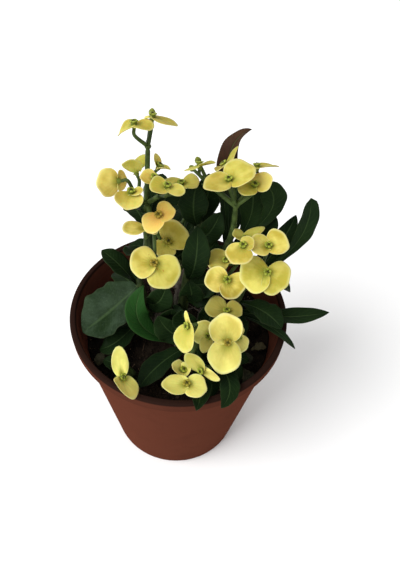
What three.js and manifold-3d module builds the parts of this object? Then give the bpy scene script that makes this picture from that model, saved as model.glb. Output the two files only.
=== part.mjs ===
// A crown of thorns (Euphorbia milii) in flower, in a terracotta coloured plastic nursery pot.
// The grey woody stems stand in holes in the potting soil and carry pairs of spines. Each stem ends in
// green leafy shoots, and forked flower stalks rise from the tips of the shoots. A bloom is a pair of
// rounded yellow bracts around a small green cup.
// Millimetres, +Z up. The origin is the centre of the foot of the pot, on the surface it stands on.
// The side that the blooms turn to, the front, is -Y.
import * as THREE from "three";
import { mergeVertices } from "three/addons/utils/BufferGeometryUtils.js";
import Module from "manifold-3d";

// The pot
const POT_HEIGHT = 118;
const RIM_RADIUS = 65;
const RIM_WIDTH = 4;
const RIM_HEIGHT = 9;
const BASE_RADIUS = 43;
const WALL = 2;
const FLOOR_TOP = 3.5;
const CHANNEL_HEIGHT = 1.5;
const POT_SIDES = 32;
const DRAIN_HOLES = 6;
const DRAIN_RADIUS = 4;
const DRAIN_CIRCLE = 28;

// The soil
const SOIL_EDGE_HEIGHT = 96;
const SOIL_MOUND = 3;
const CLEARANCE = 0.3;

// The plant
const STEM_SIDES = 8;
const ROOT_RADIUS = 5;
const ROOT_DEPTH = 70;
const ROOT_TOP = 107;
const FORK_HEIGHT = 103;
const NODE_STEP = 10;
const SPINE_LENGTH = 9;
const SPINE_RADIUS = 0.8;
const SHOOT_SIDES = 6;
const SHOOT_RADIUS = 3.3;
const SHOOT_TOP_RADIUS = 2.2;
const GOLDEN_ANGLE = THREE.MathUtils.degToRad(137.5);
const LEAF_THICKNESS = 0.8;
const LEAF_ROWS = 5;
const LEAF_OFFSET = 1;
const BRACT_THICKNESS = 0.7;
const BRACT_COLUMNS = 10;
const BRACT_ROWS = 2;
const COLLAR_RADIUS = 2.1;
const BRACT_CENTRE = 0.45; // from the cup to the middle of a bract, as a share of its length
const BRACT_HALF_WIDTH = 0.75; // half the width of a bract, as a share of its length
const CUP_RADIUS = 1.5;
const GLAND_RADIUS = 2.2;
const CUP_DEPTH = 2.2;
const BUD_RADIUS = 1.7;
const STALK_RADIUS = 1.5;
const TWIG_RADIUS = 1.1;

// The blooms turn to the light, which falls from the front, LIGHT_HEIGHT degrees above the horizon.
// Directions of bracts are given as that light sees them: an angle round the clock, counted from
// the right anticlockwise, and a lean towards the light.
const LIGHT_HEIGHT = THREE.MathUtils.degToRad(49);

const V = (x, y, z) => new THREE.Vector3(x, y, z);
const UP = V(0, 0, 1);

// Woody stems: each is a straight root in the soil and its branches. A branch leaves the top of the root,
// may lean over a point on its way, and ends under the leafy shoot that it carries.
const STEMS = {
  woody_stem_left: {
    root: [-10, 0],
    branches: [
      { to: "leafy_shoot_back_left", over: [-13, 6, 126], radius: [4.6, 3.8] },
      { to: "leafy_shoot_left", radius: [4.2, 3.6] },
    ],
  },
  woody_stem_right: {
    root: [15, 3],
    branches: [
      { to: "leafy_shoot_back_right", over: [19, 9, 122], radius: [4.6, 3.8] },
      { to: "leafy_shoot_right", radius: [4.4, 3.6] },
    ],
  },
  woody_stem_front: {
    root: [3, -12],
    branches: [
      { to: "leafy_shoot_front", radius: [4.2, 3.5] },
      { to: "leafy_shoot_middle", radius: [4.2, 3.5] },
    ],
  },
  woody_stem_back: {
    root: [0, 22],
    branches: [
      { to: "leafy_shoot_centre", over: [3, 20, 124], radius: [4.6, 3.7] },
      { to: "leafy_shoot_back", radius: [4.2, 3.6] },
    ],
  },
};

// Leafy shoots: the green ends of the branches, each from its foot to its top, and its leaves. A leaf
// starts at a share of the way up the shoot, passes over a point half way, and ends at its tip. Where no
// such point is given, it rises above the straight line by its arch.
const SHOOTS = {
  leafy_shoot_back_left: {
    axis: [[-19, 16, 150], [-20, 18, 178]],
    leaves: [
      { at: 0.9, tip: [-31, 9, 190], wide: 12, arch: 2 },
      { at: 0.8, over: [-9, 21, 188], tip: [0, 24, 195], wide: 14, face: [0, -1, 0.8] },
      { at: 0.7, tip: [-14, 44, 184], wide: 14, arch: 3 },
      { at: 0.5, tip: [-34, 38, 166], wide: 13, arch: 4 },
      { at: 0.2, over: [-14, 4, 153], tip: [-8, -4, 156], wide: 14, face: [0, -1, 0.8] },
      { at: 0.1, over: [-26, 8, 156], tip: [-30, 2, 160], wide: 12 },
      { at: 0.2, tip: [-2, 42, 162], wide: 14, arch: 4 },
    ],
  },
  leafy_shoot_centre: {
    axis: [[6, 20, 142], [9, 19, 172]],
    leaves: [
      { at: 0.9, over: [5, 17, 184], tip: [6, 22, 197], wide: 16, face: [0, -1, 0.3] },
      { at: 0.8, over: [12, 25, 184], tip: [12, 31, 197], wide: 14, face: [0, -1, 0.3] },
      { at: 0.7, over: [14, 12, 171], tip: [20, 17, 183], wide: 13, face: [0, -1, 0.5] },
      { at: 0.4, tip: [12, 52, 164], wide: 14, arch: 4 },
      { at: 0.2, over: [13, 14, 154], tip: [19, 12, 166], wide: 14, face: [0, -1, 0.8] },
      { at: 0.3, over: [0, 12, 154], tip: [-3, 3, 158], wide: 14, face: [0, -1, 0.8] },
    ],
  },
  leafy_shoot_back_right: {
    axis: [[23, 12, 140], [26, 11, 168]],
    leaves: [
      { at: 0.9, over: [21, 30, 204], tip: [32, 36, 223], wide: 11 },
      { at: 0.8, over: [46, 18, 184], tip: [42, 23, 199], wide: 14, blunt: true, face: [0, -1, 0.4] },
      { at: 0.7, over: [36, 18, 180], tip: [34, 26, 197], wide: 17, blunt: true, face: [0, -1, 0.4] },
      { at: 0.7, over: [42, 17, 171], tip: [50, 18, 181], wide: 12, face: [0, -1, 0.5] },
      { at: 0.5, tip: [30, 58, 176], wide: 15, arch: 4 },
      { at: 0.3, tip: [54, 34, 162], wide: 14, arch: 4 },
    ],
  },
  leafy_shoot_right: {
    axis: [[29, -3, 118], [38, 0, 152]],
    leaves: [
      { at: 0.9, over: [62, 11, 168], tip: [66, 18, 196], wide: 11, blunt: true, face: [0.3, -1, 0.6] },
      { at: 0.8, over: [52, 12, 162], tip: [61, 22, 180], wide: 12, face: [0.2, -1, 0.6] },
      { at: 0.6, over: [52, 4, 145], tip: [64, 4, 136], wide: 10 },
      { at: 0.4, over: [48, -10, 134], tip: [59, -19, 131], wide: 15 },
      { at: 0.5, tip: [60, 32, 142], wide: 14, arch: 4 },
      { at: 0.2, over: [58, -7, 126], tip: [87, -5, 131], wide: 12 },
      { at: 0.1, over: [52, -14, 126], tip: [69, -21, 115], wide: 6 },
      { at: 0.3, over: [33, -14, 128], tip: [38, -24, 125], wide: 13 },
    ],
  },
  leafy_shoot_front: {
    axis: [[9, -18, 108], [13, -22, 119]],
    leaves: [
      { at: 0.1, over: [-20, -19, 124], tip: [-20, -6, 145], wide: 14, broad: true },
      { at: 0.3, over: [16, -46, 116.5], tip: [14, -68, 119.6], wide: 11 },
      { at: 0.6, over: [30, -46, 119], tip: [27, -66, 120.3], wide: 11 },
      { at: 0.4, over: [20, -38, 109], tip: [22, -52, 107], wide: 11 },
      { at: 0.7, over: [28, -26, 115], tip: [43, -28, 109], wide: 13 },
      { at: 0.5, over: [30, -34, 112], tip: [38, -40, 107], wide: 12 },
      { at: 0.2, over: [-7, -34, 111], tip: [-19, -48, 105], wide: 14 },
      { at: 0.8, over: [5, -17, 127], tip: [2, -18, 140], wide: 14, face: [0, -1, 0.6] },
      { at: 0.6, over: [-3, -20, 121], tip: [-11, -17, 132], wide: 14, face: [0, -1, 0.8] },
      { at: 0.9, over: [18, -13, 126], tip: [20, -9, 139], wide: 14, face: [0, -1, 0.6] },
    ],
  },
  leafy_shoot_left: {
    axis: [[-19, 0, 112], [-24, 3, 138]],
    leaves: [
      { at: 0.9, over: [-39, -8, 123], tip: [-55, -19, 114], wide: 33, broad: true },
      { at: 0.8, over: [-34, 3, 149], tip: [-45, 8, 156], wide: 13 },
      { at: 0.4, over: [-12, -9, 134], tip: [-7, -9, 150], wide: 15, face: [0, -1, 0.6] },
      { at: 0.1, over: [-33, -19, 110], tip: [-45, -24, 105], wide: 14 },
      { at: 0.4, tip: [-42, 24, 120], wide: 14, arch: 4 },
    ],
  },
  leafy_shoot_middle: {
    axis: [[2, 0, 119], [4, 3, 150]],
    leaves: [
      { at: 0.8, over: [8, -4, 164], tip: [8, 4, 184], wide: 15, face: [0, -1, 0.4] },
      { at: 0.5, over: [7, -10, 144], tip: [5, -12, 158], wide: 14, face: [0, -1, 0.6] },
      { at: 0.6, over: [13, -5, 148], tip: [22, -7, 150], wide: 15, face: [0, -1, 1] },
      { at: 0.3, over: [12, -3, 134], tip: [20, -1, 143], wide: 13, face: [0, -1, 0.8] },
      { at: 0.2, over: [-3, -11, 127], tip: [-3, -16, 138], wide: 13, face: [0, -1, 0.6] },
    ],
  },
  leafy_shoot_back: {
    axis: [[-2, 34, 112], [-3, 42, 136]],
    leaves: [
      { at: 0.9, tip: [20, 56, 158], wide: 14, arch: 2 },
      { at: 0.8, tip: [-32, 54, 142], wide: 14, arch: 3 },
      { at: 0.7, tip: [26, 66, 136], wide: 14, arch: 4 },
      { at: 0.5, tip: [0, 80, 132], wide: 15, arch: 5 },
      { at: 0.3, tip: [-36, 44, 124], wide: 14, arch: 4 },
      { at: 0.2, tip: [36, 44, 122], wide: 14, arch: 4 },
    ],
  },
  leafy_shoot_low: {
    axis: [[-21, -33, 84], [-25, -39, 107]],
    leaves: [
      { at: 0.9, tip: [-41, -34, 109], wide: 10, arch: 2 },
    ],
  },
};

// Flower stalks: each rises in line with the shoot below it to its lowest fork, and its thick stretches
// run on from there to other forks. The thin stalk of a bloom or of a bud starts at the fork it names.
// A bloom is given as its fork, its centre, the way its cup opens, and its two bracts. A bract is given
// as the way it points, its length and, where they matter, how far it is turned about its own middle
// line and how broad it is beside an ordinary bract.
const STALKS = {
  flower_stalk_back_left: {
    on: "leafy_shoot_back_left",
    rise: 6,
    forks: {
      high: ["low", [-19, 20, 220]],
      left: ["low", [-24, 9, 194]],
      middle: ["low", [-12, 12, 196]],
      front: ["low", [-15, 6, 180]],
    },
    buds: [["high", [-18, 31, 232]]],
    blooms: {
      bloom_top_1: ["high", [-25, 17, 234], [95, 35], [210, -15, 9.5], [359, 5, 9.5, 0, 0.95]],
      bloom_top_2: ["high", [-17, 24, 234], [85, 30], [352, -10, 12.5, 0, 0.7], [185, -10, 4, 0, 0.8]],
      bloom_left_1: ["left", [-32, 3, 211], [180, -10], [193, 10, 11, 0, 0.95], [22, -50, 6.5, 0, 1.1]],
      bloom_left_2: ["left", [-25, 18, 205], [110, 15], [127, 35, 9.5, 0, 0.8], [82, -20, 13, 0, 0.4]],
      bloom_left_3: ["left", [-25, -3, 209], [80, 40], [263, 30, 9.5], [25, 20, 6.5, 0, 0.7]],
      bloom_left_4: ["middle", [-15, 9, 209], [60, 60], [171, 15, 7, 0, 0.9], [355, 0, 4, 0, 0.6]],
      bloom_left_5: ["middle", [-14, 22, 206], [60, 25], [91, 15, 7.5, 0, 0.6], [8, 10, 6.5, 0, 0.7]],
      bloom_left_6: ["middle", [-8, 2, 210], [80, 45], [183, 20, 8.5, 0, 1.1], [349, 20, 9.5, 0, 0.6]],
      bloom_left_7: ["middle", [-2, 18, 199], [90, 40], [170, 10, 8.5], [16, 10, 9.5]],
      bloom_middle_1: ["front", [-11, -6, 198], [120, 60], [234, 15, 10, 0, 0.85], [32, 10, 8.5]],
      bloom_middle_2: ["front", [-18, -4, 187], [90, 35], [180, 5, 12, 0, 0.7], [348, 10, 6.5, 0, 0.8]],
      bloom_middle_3: ["front", [-8, 6, 168], [50, 55], [50, 5, 13], [250, 10, 9]],
      bloom_middle_4: ["front", [-13, -14, 172], [100, 75], [175, 10, 12.5, 0, 0.95], [323, 5, 15, 0, 0.9]],
    },
  },
  flower_stalk_back_right: {
    on: "leafy_shoot_back_right",
    rise: 12,
    forks: { high: ["low", [27, 11, 193]], side: ["high", [12, 18, 201]] },
    buds: [["side", [6, 27, 208]], ["side", [3, 28, 202]]],
    blooms: {
      bloom_back_1: ["high", [22, 9, 211], [105, 50], [193, 10, 13, 0, 0.8], [40, 5, 14.5, 0, 0.9]],
      bloom_back_2: ["high", [20, 22, 210], [135, 20], [64, 0, 11.5, 0, 0.5], [206, 20, 6]],
      bloom_back_3: ["high", [35, 11, 207], [80, 50], [203, 15, 8.5], [41, 8, 10, 0, 0.85]],
      bloom_back_4: ["high", [36, 22, 210], [95, 20], [17, -5, 11.5, 0, 0.7], [195, 0, 6]],
      bloom_back_5: ["side", [7, 19, 211], [95, 15], [205, 5, 8], [20, 10, 8]],
    },
  },
  flower_stalk_right: {
    on: "leafy_shoot_right",
    rise: 5,
    forks: { right: ["low", [44, 0, 160]], left: ["low", [32, 3, 160]] },
    buds: [],
    blooms: {
      bloom_right_1: ["left", [34, 4, 176], [100, 35], [150, 25, 8.5], [48, -5, 12.5, 0, 0.5]],
      bloom_right_2: ["right", [45, -5, 181], [90, 55], [174, 15, 10.5, 0, 0.95], [26, 10, 11]],
      bloom_right_3: ["right", [46, -11, 168], [80, 80], [193, 8, 14.5, 0, 0.95], [332, 5, 12.5, 0, 1.1]],
      bloom_right_4: ["left", [25, -1, 164], [130, 55], [176, 10, 11.5, 0, 0.9], [59, 5, 8.5, 0, 0.8]],
      bloom_right_5: ["left", [25, -13, 162], [45, 70], [181, 10, 11.5, 0, 0.85], [321, 10, 11, 0, 1.1]],
      bloom_right_6: ["left", [32, -8, 183], [110, 55], [242, 15, 10.5], [49, 15, 6.5]],
    },
  },
  flower_stalk_front: {
    on: "leafy_shoot_front",
    rise: 4,
    forks: { left: ["low", [7, -29, 127]], out: ["low", [7, -38, 119]] },
    buds: [],
    blooms: {
      bloom_front_1: ["low", [27, -18, 141], [90, 40], [165, 10, 12], [20, 0, 9]],
      bloom_front_2: ["left", [7, -35, 149], [185, 40], [256, 5, 14.5, 0, 0.75], [110, 0, 8, 0, 0.4]],
      bloom_front_3: ["low", [19, -28, 132], [190, 55], [153, 10, 10.5], [244, 10, 10.5, 0, 0.5]],
      bloom_front_4: ["low", [28, -36, 138], [0, 85], [100, 5, 15.5, 0, 0.8], [264, 0, 17, 0, 0.75]],
      bloom_front_5: ["out", [16, -47, 126], [200, 45], [144, 5, 12.5, 0, 0.6], [336, 10, 10.5, 0, 0.45]],
      bloom_front_6: ["low", [34, -27, 131], [10, 60], [290, 10, 9], [100, 0, 7]],
      bloom_low_1: ["out", [8, -56, 125], [90, 50], [179, 10, 13, 0, 0.68], [354, 10, 11, 0, 0.9]],
      bloom_low_2: ["out", [5, -46, 122], [60, 35], [136, 20, 7], [43, 20, 6]],
    },
  },
  flower_stalk_low: {
    on: "leafy_shoot_low",
    rise: 6,
    forks: {},
    buds: [],
    blooms: {
      bloom_low_3: ["low", [-27, -53, 123], [20, 45], [104, -15, 17, -60, 0.36], [318, 42, 15, 0, 0.68]],
    },
  },
  flower_stalk_back: {
    on: "leafy_shoot_back",
    rise: 8,
    forks: {},
    buds: [],
    blooms: {
      bloom_rear_1: ["low", [-14, 56, 152], [100, -20], [175, 0, 12], [5, 0, 12]],
      bloom_rear_2: ["low", [5, 62, 154], [80, -20], [185, 0, 11], [0, 0, 11]],
    },
  },
};

const wasm = await Module();
wasm.setup();

// A closed geometry as a solid that can be joined and cut.
function solidOf(geometry) {
  const bare = geometry.index ? geometry.toNonIndexed() : geometry.clone();
  bare.deleteAttribute("normal");
  bare.deleteAttribute("uv");
  const merged = mergeVertices(bare, 1e-3);
  return new wasm.Manifold(
    new wasm.Mesh({
      numProp: 3,
      vertProperties: merged.attributes.position.array,
      triVerts: new Uint32Array(merged.index.array),
    }),
  );
}

function geometryOf(solid) {
  const mesh = solid.getMesh();
  return new THREE.BufferGeometry()
    .setAttribute("position", new THREE.BufferAttribute(new Float32Array(mesh.vertProperties), 3))
    .setIndex(new THREE.BufferAttribute(new Uint32Array(mesh.triVerts), 1));
}

const joined = (geometries) => geometries.map(solidOf).reduce((all, next) => all.add(next));

// A profile of radius and height turned about Z.
function turned(profile, sides) {
  const points = profile.map(([r, z]) => new THREE.Vector2(r, z));
  return new THREE.LatheGeometry(points, sides).rotateX(Math.PI / 2);
}

// A round bar of changing thickness: a cylinder whose rings are moved to the given centres. Its far end
// may be hollowed a little in the middle.
function rings(centres, radii, sides, hollow = 0) {
  const last = centres.length - 1;
  const geometry = new THREE.CylinderGeometry(1, 1, 1, sides, last);
  const position = geometry.attributes.position;
  const span = centres[last].clone().sub(centres[0]).normalize();
  const side = Math.abs(span.y) < 0.9 ? V(0, 1, 0) : V(1, 0, 0);
  for (let i = 0; i < position.count; i++) {
    const k = Math.round((position.getY(i) + 0.5) * last);
    const along = centres[Math.min(k + 1, last)].clone().sub(centres[Math.max(k - 1, 0)]).normalize();
    const across = V(0, 0, 0).crossVectors(side, along).normalize();
    const over = V(0, 0, 0).crossVectors(across, along);
    const [x, z] = [position.getX(i), position.getZ(i)];
    const sunk = k === last && Math.hypot(x, z) < 0.1 ? hollow : 0;
    const point = centres[k]
      .clone()
      .addScaledVector(across, x * radii[k])
      .addScaledVector(over, z * radii[k])
      .addScaledVector(along, -sunk);
    position.setXYZ(i, ...point);
  }
  return geometry;
}

const tapered = (centres, start, end) =>
  centres.map((_, k) => THREE.MathUtils.lerp(start, end, k / (centres.length - 1)));

// A straight tapered bar.
const bar = (from, to, startRadius, endRadius, sides) => rings([from, to], [startRadius, endRadius], sides);

// A thin solid between two like faces of a grid. surface(i, j) gives the grid's point and the normal there.
// A round grid closes on itself across its columns, and leaves a hole in its middle.
function sheet(rows, columns, round, thickness, surface) {
  const across = round ? columns : columns + 1;
  const position = [];
  for (const side of [1, -1])
    for (let i = 0; i <= rows; i++)
      for (let j = 0; j < across; j++) {
        const { point, normal } = surface(i, j);
        position.push(...point.clone().addScaledVector(normal, (side * thickness) / 2));
      }
  const top = (i, j) => i * across + (j % across);
  const under = (i, j) => top(i, j) + (rows + 1) * across;
  const index = [];
  const quad = (a, b, c, d) => index.push(a, b, c, a, c, d);
  for (let i = 0; i < rows; i++)
    for (let j = 0; j < columns; j++) {
      quad(top(i, j), top(i + 1, j), top(i + 1, j + 1), top(i, j + 1));
      index.push(under(i, j), under(i + 1, j + 1), under(i + 1, j));
      index.push(under(i, j), under(i, j + 1), under(i + 1, j + 1));
    }
  for (let j = 0; j < columns; j++) {
    quad(top(0, j), top(0, j + 1), under(0, j + 1), under(0, j));
    quad(top(rows, j + 1), top(rows, j), under(rows, j), under(rows, j + 1));
  }
  if (!round)
    for (let i = 0; i < rows; i++) {
      quad(top(i + 1, 0), top(i, 0), under(i, 0), under(i + 1, 0));
      quad(top(i, columns), top(i + 1, columns), under(i + 1, columns), under(i, columns));
    }
  return new THREE.BufferGeometry()
    .setAttribute("position", new THREE.Float32BufferAttribute(position, 3))
    .setIndex(index);
}

// The outline of a leaf: a narrow foot, widest beyond the middle. A blunt one is widest near its round
// end, and a broad one is an even oval.
const leafOutline = (share, { broad, blunt }) => {
  if (share === 1) return blunt ? 0.4 : 0.12;
  const bulge = Math.sin(Math.PI * share ** (blunt ? 2.8 : broad ? 1.15 : 1.45));
  return 0.1 + 0.9 * Math.max(0, bulge) ** (blunt || broad ? 0.65 : 0.8);
};

// One leaf: a blade along a curve from its foot to its tip, folded a little along its midrib. Its upper
// side faces up, or the way that is given.
function leaf(foot, { over, tip, wide, arch, face = [0, 0, 1], ...form }) {
  const end = V(...tip);
  const chord = end.clone().sub(foot).normalize();
  const lift = UP.clone().addScaledVector(chord, -UP.dot(chord)).normalize();
  const centre = foot.clone().lerp(end, 0.5);
  const bend = over ? V(...over).multiplyScalar(2).sub(centre) : centre.addScaledVector(lift, 2 * arch);
  const midrib = new THREE.QuadraticBezierCurve3(foot, bend, end);
  const columns = form.broad ? 4 : 2;
  return sheet(LEAF_ROWS, columns, false, LEAF_THICKNESS, (i, j) => {
    const share = i / LEAF_ROWS;
    const along = midrib.getTangent(share);
    const across = V(...face).cross(along).normalize();
    const normal = V(0, 0, 0).crossVectors(along, across).normalize();
    const s = (2 * j) / columns - 1;
    const half = (wide / 2) * leafOutline(share, form);
    const point = midrib
      .getPoint(share)
      .addScaledVector(across, s * half)
      .addScaledVector(normal, 0.25 * Math.abs(s) * half);
    return { point, normal };
  });
}

function leafyShoot({ axis, leaves }) {
  const [foot, top] = axis.map((p) => V(...p));
  const pieces = [bar(foot, top, SHOOT_RADIUS, SHOOT_TOP_RADIUS, SHOOT_SIDES)];
  for (const one of leaves) {
    const start = foot.clone().lerp(top, one.at);
    const outward = V(...(one.over ?? one.tip)).sub(start).setZ(0).setLength(LEAF_OFFSET);
    pieces.push(leaf(start.add(outward), one));
  }
  return geometryOf(joined(pieces));
}

// The middle points of a branch, the last of which meets the shoot that it carries end to end.
function branchLine(root, { to, over }) {
  const [foot, top] = SHOOTS[to].axis.map((p) => V(...p));
  const along = top.clone().sub(foot).normalize();
  const line = [V(...root, FORK_HEIGHT)];
  if (over) line.push(V(...over));
  line.push(foot.clone().addScaledVector(along, -6));
  const lower = line.length > 2 ? new THREE.CatmullRomCurve3(line).getSpacedPoints(3) : line;
  return [...lower, foot.clone().addScaledVector(along, -CLEARANCE)];
}

// The wood, with a pair of spines at each old leaf scar, the scars turning round the stem.
function woodyStem({ root, branches }) {
  const trunk = bar(V(...root, ROOT_DEPTH), V(...root, ROOT_TOP), ROOT_RADIUS, ROOT_RADIUS, STEM_SIDES);
  const pieces = [trunk];
  let scar = 0;
  for (const branch of branches) {
    const centres = branchLine(root, branch);
    pieces.push(rings(centres, tapered(centres, ...branch.radius), STEM_SIDES));
    const curve = new THREE.CatmullRomCurve3(centres);
    const count = Math.floor(curve.getLength() / NODE_STEP);
    for (let k = 1; k <= count; k++) {
      const share = (k - 0.4) / count;
      const centre = curve.getPointAt(share);
      const along = curve.getTangentAt(share);
      scar += 1;
      for (const spread of [-0.5, 0.5]) {
        const out = V(1, 0, 0)
          .addScaledVector(along, -along.x)
          .normalize()
          .applyAxisAngle(along, scar * GOLDEN_ANGLE + spread);
        const direction = out.clone().addScaledVector(along, 0.25).normalize();
        const start = centre.clone().addScaledVector(out, branch.radius[1] - 1.4);
        const tip = start.clone().addScaledVector(direction, SPINE_LENGTH);
        pieces.push(bar(start, tip, SPINE_RADIUS, 0.15, 3));
      }
    }
  }
  return geometryOf(joined(pieces));
}

// A direction that is given as the light sees it, in the frame of the pot.
function facing(round, lean) {
  const a = THREE.MathUtils.degToRad(round);
  const b = THREE.MathUtils.degToRad(lean);
  const upward = Math.cos(b) * Math.sin(a);
  const forward = Math.sin(b);
  return V(
    Math.cos(b) * Math.cos(a),
    upward * Math.sin(LIGHT_HEIGHT) - forward * Math.cos(LIGHT_HEIGHT),
    upward * Math.cos(LIGHT_HEIGHT) + forward * Math.sin(LIGHT_HEIGHT),
  );
}

// How far a bract reaches at an angle from its own middle line, as a share of its length. Its outline is
// an ellipse that is wider than long, with the cup near its edge.
function bractOutline(angle, breadth) {
  const long = 1 - BRACT_CENTRE;
  const wide = BRACT_HALF_WIDTH * breadth;
  const p = (BRACT_CENTRE * Math.cos(angle)) / long ** 2;
  const q = Math.cos(angle) ** 2 / long ** 2 + Math.sin(angle) ** 2 / wide ** 2;
  return (p + Math.sqrt(p ** 2 + q * (1 - BRACT_CENTRE ** 2 / long ** 2))) / q;
}

// One bract as a wing of its bloom: where it reaches, its own sideways direction, and its sizes.
function wing(cupAxis, [round, lean, length, twist = 0, breadth = 1]) {
  const reach = facing(round, lean);
  const side = V(0, 0, 0).crossVectors(cupAxis, reach).normalize();
  const level = V(0, 0, 0).crossVectors(side, cupAxis).normalize();
  const normal = V(0, 0, 0).crossVectors(reach, side).normalize();
  return { reach, side, level, normal, length, twist: THREE.MathUtils.degToRad(twist), breadth };
}

// The two bracts of a bloom, hinged at a collar that runs round the cup. Where they don't point straight
// away from each other, the seam between them is turned half way.
function bractPair([, at, axis, ...bracts]) {
  const centre = V(...at);
  const cupAxis = facing(...axis);
  const wings = bracts.map((bract) => wing(cupAxis, bract));
  const [a, b] = [wings[0].side, wings[1].side.clone().negate()];
  const bent = Math.atan2(V(0, 0, 0).crossVectors(b, a).dot(cupAxis), a.dot(b));
  return sheet(BRACT_ROWS, BRACT_COLUMNS, true, BRACT_THICKNESS, (i, j) => {
    const half = BRACT_COLUMNS / 2;
    const { reach, level, length, twist, breadth, ...flat } = wings[j < half ? 0 : 1];
    const side = flat.side.clone().applyAxisAngle(reach, i === 0 ? 0 : twist);
    const normal = flat.normal.clone().applyAxisAngle(reach, i === 0 ? 0 : twist);
    const angle = ((j % half) / half - 0.5) * Math.PI + (j < half ? -bent / 2 : bent / 2);
    const edge = Math.max(COLLAR_RADIUS + 1.2, length * bractOutline(angle, breadth));
    const radius = THREE.MathUtils.lerp(COLLAR_RADIUS, edge, [0, 0.6, 1][i]);
    const beyond = radius - COLLAR_RADIUS;
    const dish = 0.1 * length * (beyond / length) ** 2;
    const point = centre
      .clone()
      .addScaledVector(level, COLLAR_RADIUS * Math.cos(angle))
      .addScaledVector(reach, beyond * Math.cos(angle))
      .addScaledVector(side, radius * Math.sin(angle))
      .addScaledVector(normal, -dish);
    const bend = Math.min(1, 2 * Math.cos(angle));
    const upright = cupAxis.clone().multiplyScalar(1 - bend);
    return { point, normal: upright.addScaledVector(normal, bend).normalize() };
  });
}

// The thin stalk of one bloom, which widens at its end into the small cup. The five corners of the mouth
// of the cup are its glands.
function bloomStalk(from, at, axis) {
  const upright = facing(...axis);
  const mouth = V(...at).addScaledVector(upright, CUP_DEPTH);
  const below = V(...at).addScaledVector(upright, -CUP_DEPTH);
  const bend = below.clone().addScaledVector(upright, -Math.min(5, 0.4 * from.distanceTo(below)));
  const centres = [...new THREE.CatmullRomCurve3([from, bend, below]).getSpacedPoints(3), V(...at), mouth];
  const radii = [TWIG_RADIUS, TWIG_RADIUS, TWIG_RADIUS, TWIG_RADIUS, CUP_RADIUS, GLAND_RADIUS];
  return rings(centres, radii, 5, 0.7);
}

// The forked green stalk with the cups and the buds at its ends.
function flowerStalk({ on, rise, forks, buds, blooms }) {
  const [foot, top] = SHOOTS[on].axis.map((p) => V(...p));
  const along = top.clone().sub(foot).normalize();
  const low = top.clone().addScaledVector(along, rise);
  const points = { low };
  const start = top.addScaledVector(along, CLEARANCE);
  const pieces = [bar(start, low, STALK_RADIUS + 0.2, STALK_RADIUS, 5)];
  for (const [name, [from, place]] of Object.entries(forks)) {
    points[name] = V(...place);
    pieces.push(bar(points[from], points[name], STALK_RADIUS, STALK_RADIUS - 0.2, 5));
  }
  for (const [from, place] of buds) {
    pieces.push(bar(points[from], V(...place), TWIG_RADIUS, TWIG_RADIUS, 4));
    pieces.push(new THREE.SphereGeometry(BUD_RADIUS, 6, 4).translate(...place));
  }
  for (const [fork, at, axis] of Object.values(blooms)) pieces.push(bloomStalk(points[fork], at, axis));
  return geometryOf(joined(pieces));
}

// The radius of the pot's inner wall at a height.
const INNER_FOOT = BASE_RADIUS - WALL;
const INNER_TOP = RIM_RADIUS - RIM_WIDTH - WALL;
const innerRadius = (z) =>
  THREE.MathUtils.mapLinear(z, FLOOR_TOP, POT_HEIGHT - RIM_HEIGHT, INNER_FOOT, INNER_TOP);

// The pot: a foot disc and a foot ring with a raised channel between them, where the drain holes are,
// a wall that widens upwards, and a thick rim.
function pot() {
  const underRim = POT_HEIGHT - RIM_HEIGHT;
  const profile = [
    [0, 0],
    [DRAIN_CIRCLE - 8, 0],
    [DRAIN_CIRCLE - 6, CHANNEL_HEIGHT],
    [DRAIN_CIRCLE + 6, CHANNEL_HEIGHT],
    [DRAIN_CIRCLE + 8, 0],
    [BASE_RADIUS - 0.8, 0],
    [BASE_RADIUS, 1],
    [INNER_TOP + WALL, underRim],
    [RIM_RADIUS - 0.5, underRim + 0.6],
    [RIM_RADIUS, POT_HEIGHT - 1.2],
    [RIM_RADIUS - 0.8, POT_HEIGHT],
    [RIM_RADIUS - RIM_WIDTH + 0.6, POT_HEIGHT],
    [INNER_TOP, underRim],
    [innerRadius(FLOOR_TOP + 4), FLOOR_TOP + 4],
    [INNER_FOOT - 3, FLOOR_TOP],
    [0, FLOOR_TOP],
  ];
  let solid = solidOf(turned(profile, POT_SIDES));
  for (let k = 0; k < DRAIN_HOLES; k++) {
    const angle = (2 * Math.PI * k) / DRAIN_HOLES;
    const hole = new THREE.CylinderGeometry(DRAIN_RADIUS, DRAIN_RADIUS, 12, 10)
      .rotateX(Math.PI / 2)
      .translate(DRAIN_CIRCLE * Math.cos(angle), DRAIN_CIRCLE * Math.sin(angle), CHANNEL_HEIGHT + 1);
    solid = solid.subtract(solidOf(hole));
  }
  return geometryOf(solid);
}

// How high the soil lies at a place: a low mound with clods.
const soilHeight = (x, y) => {
  const inward = 1 - Math.hypot(x, y) / INNER_TOP;
  const clods = Math.sin(0.35 * x + 1.3) * Math.cos(0.31 * y) + 0.6 * Math.sin(0.23 * x - 0.4 * y);
  return SOIL_EDGE_HEIGHT + SOIL_MOUND * inward + 0.8 * clods;
};

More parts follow.
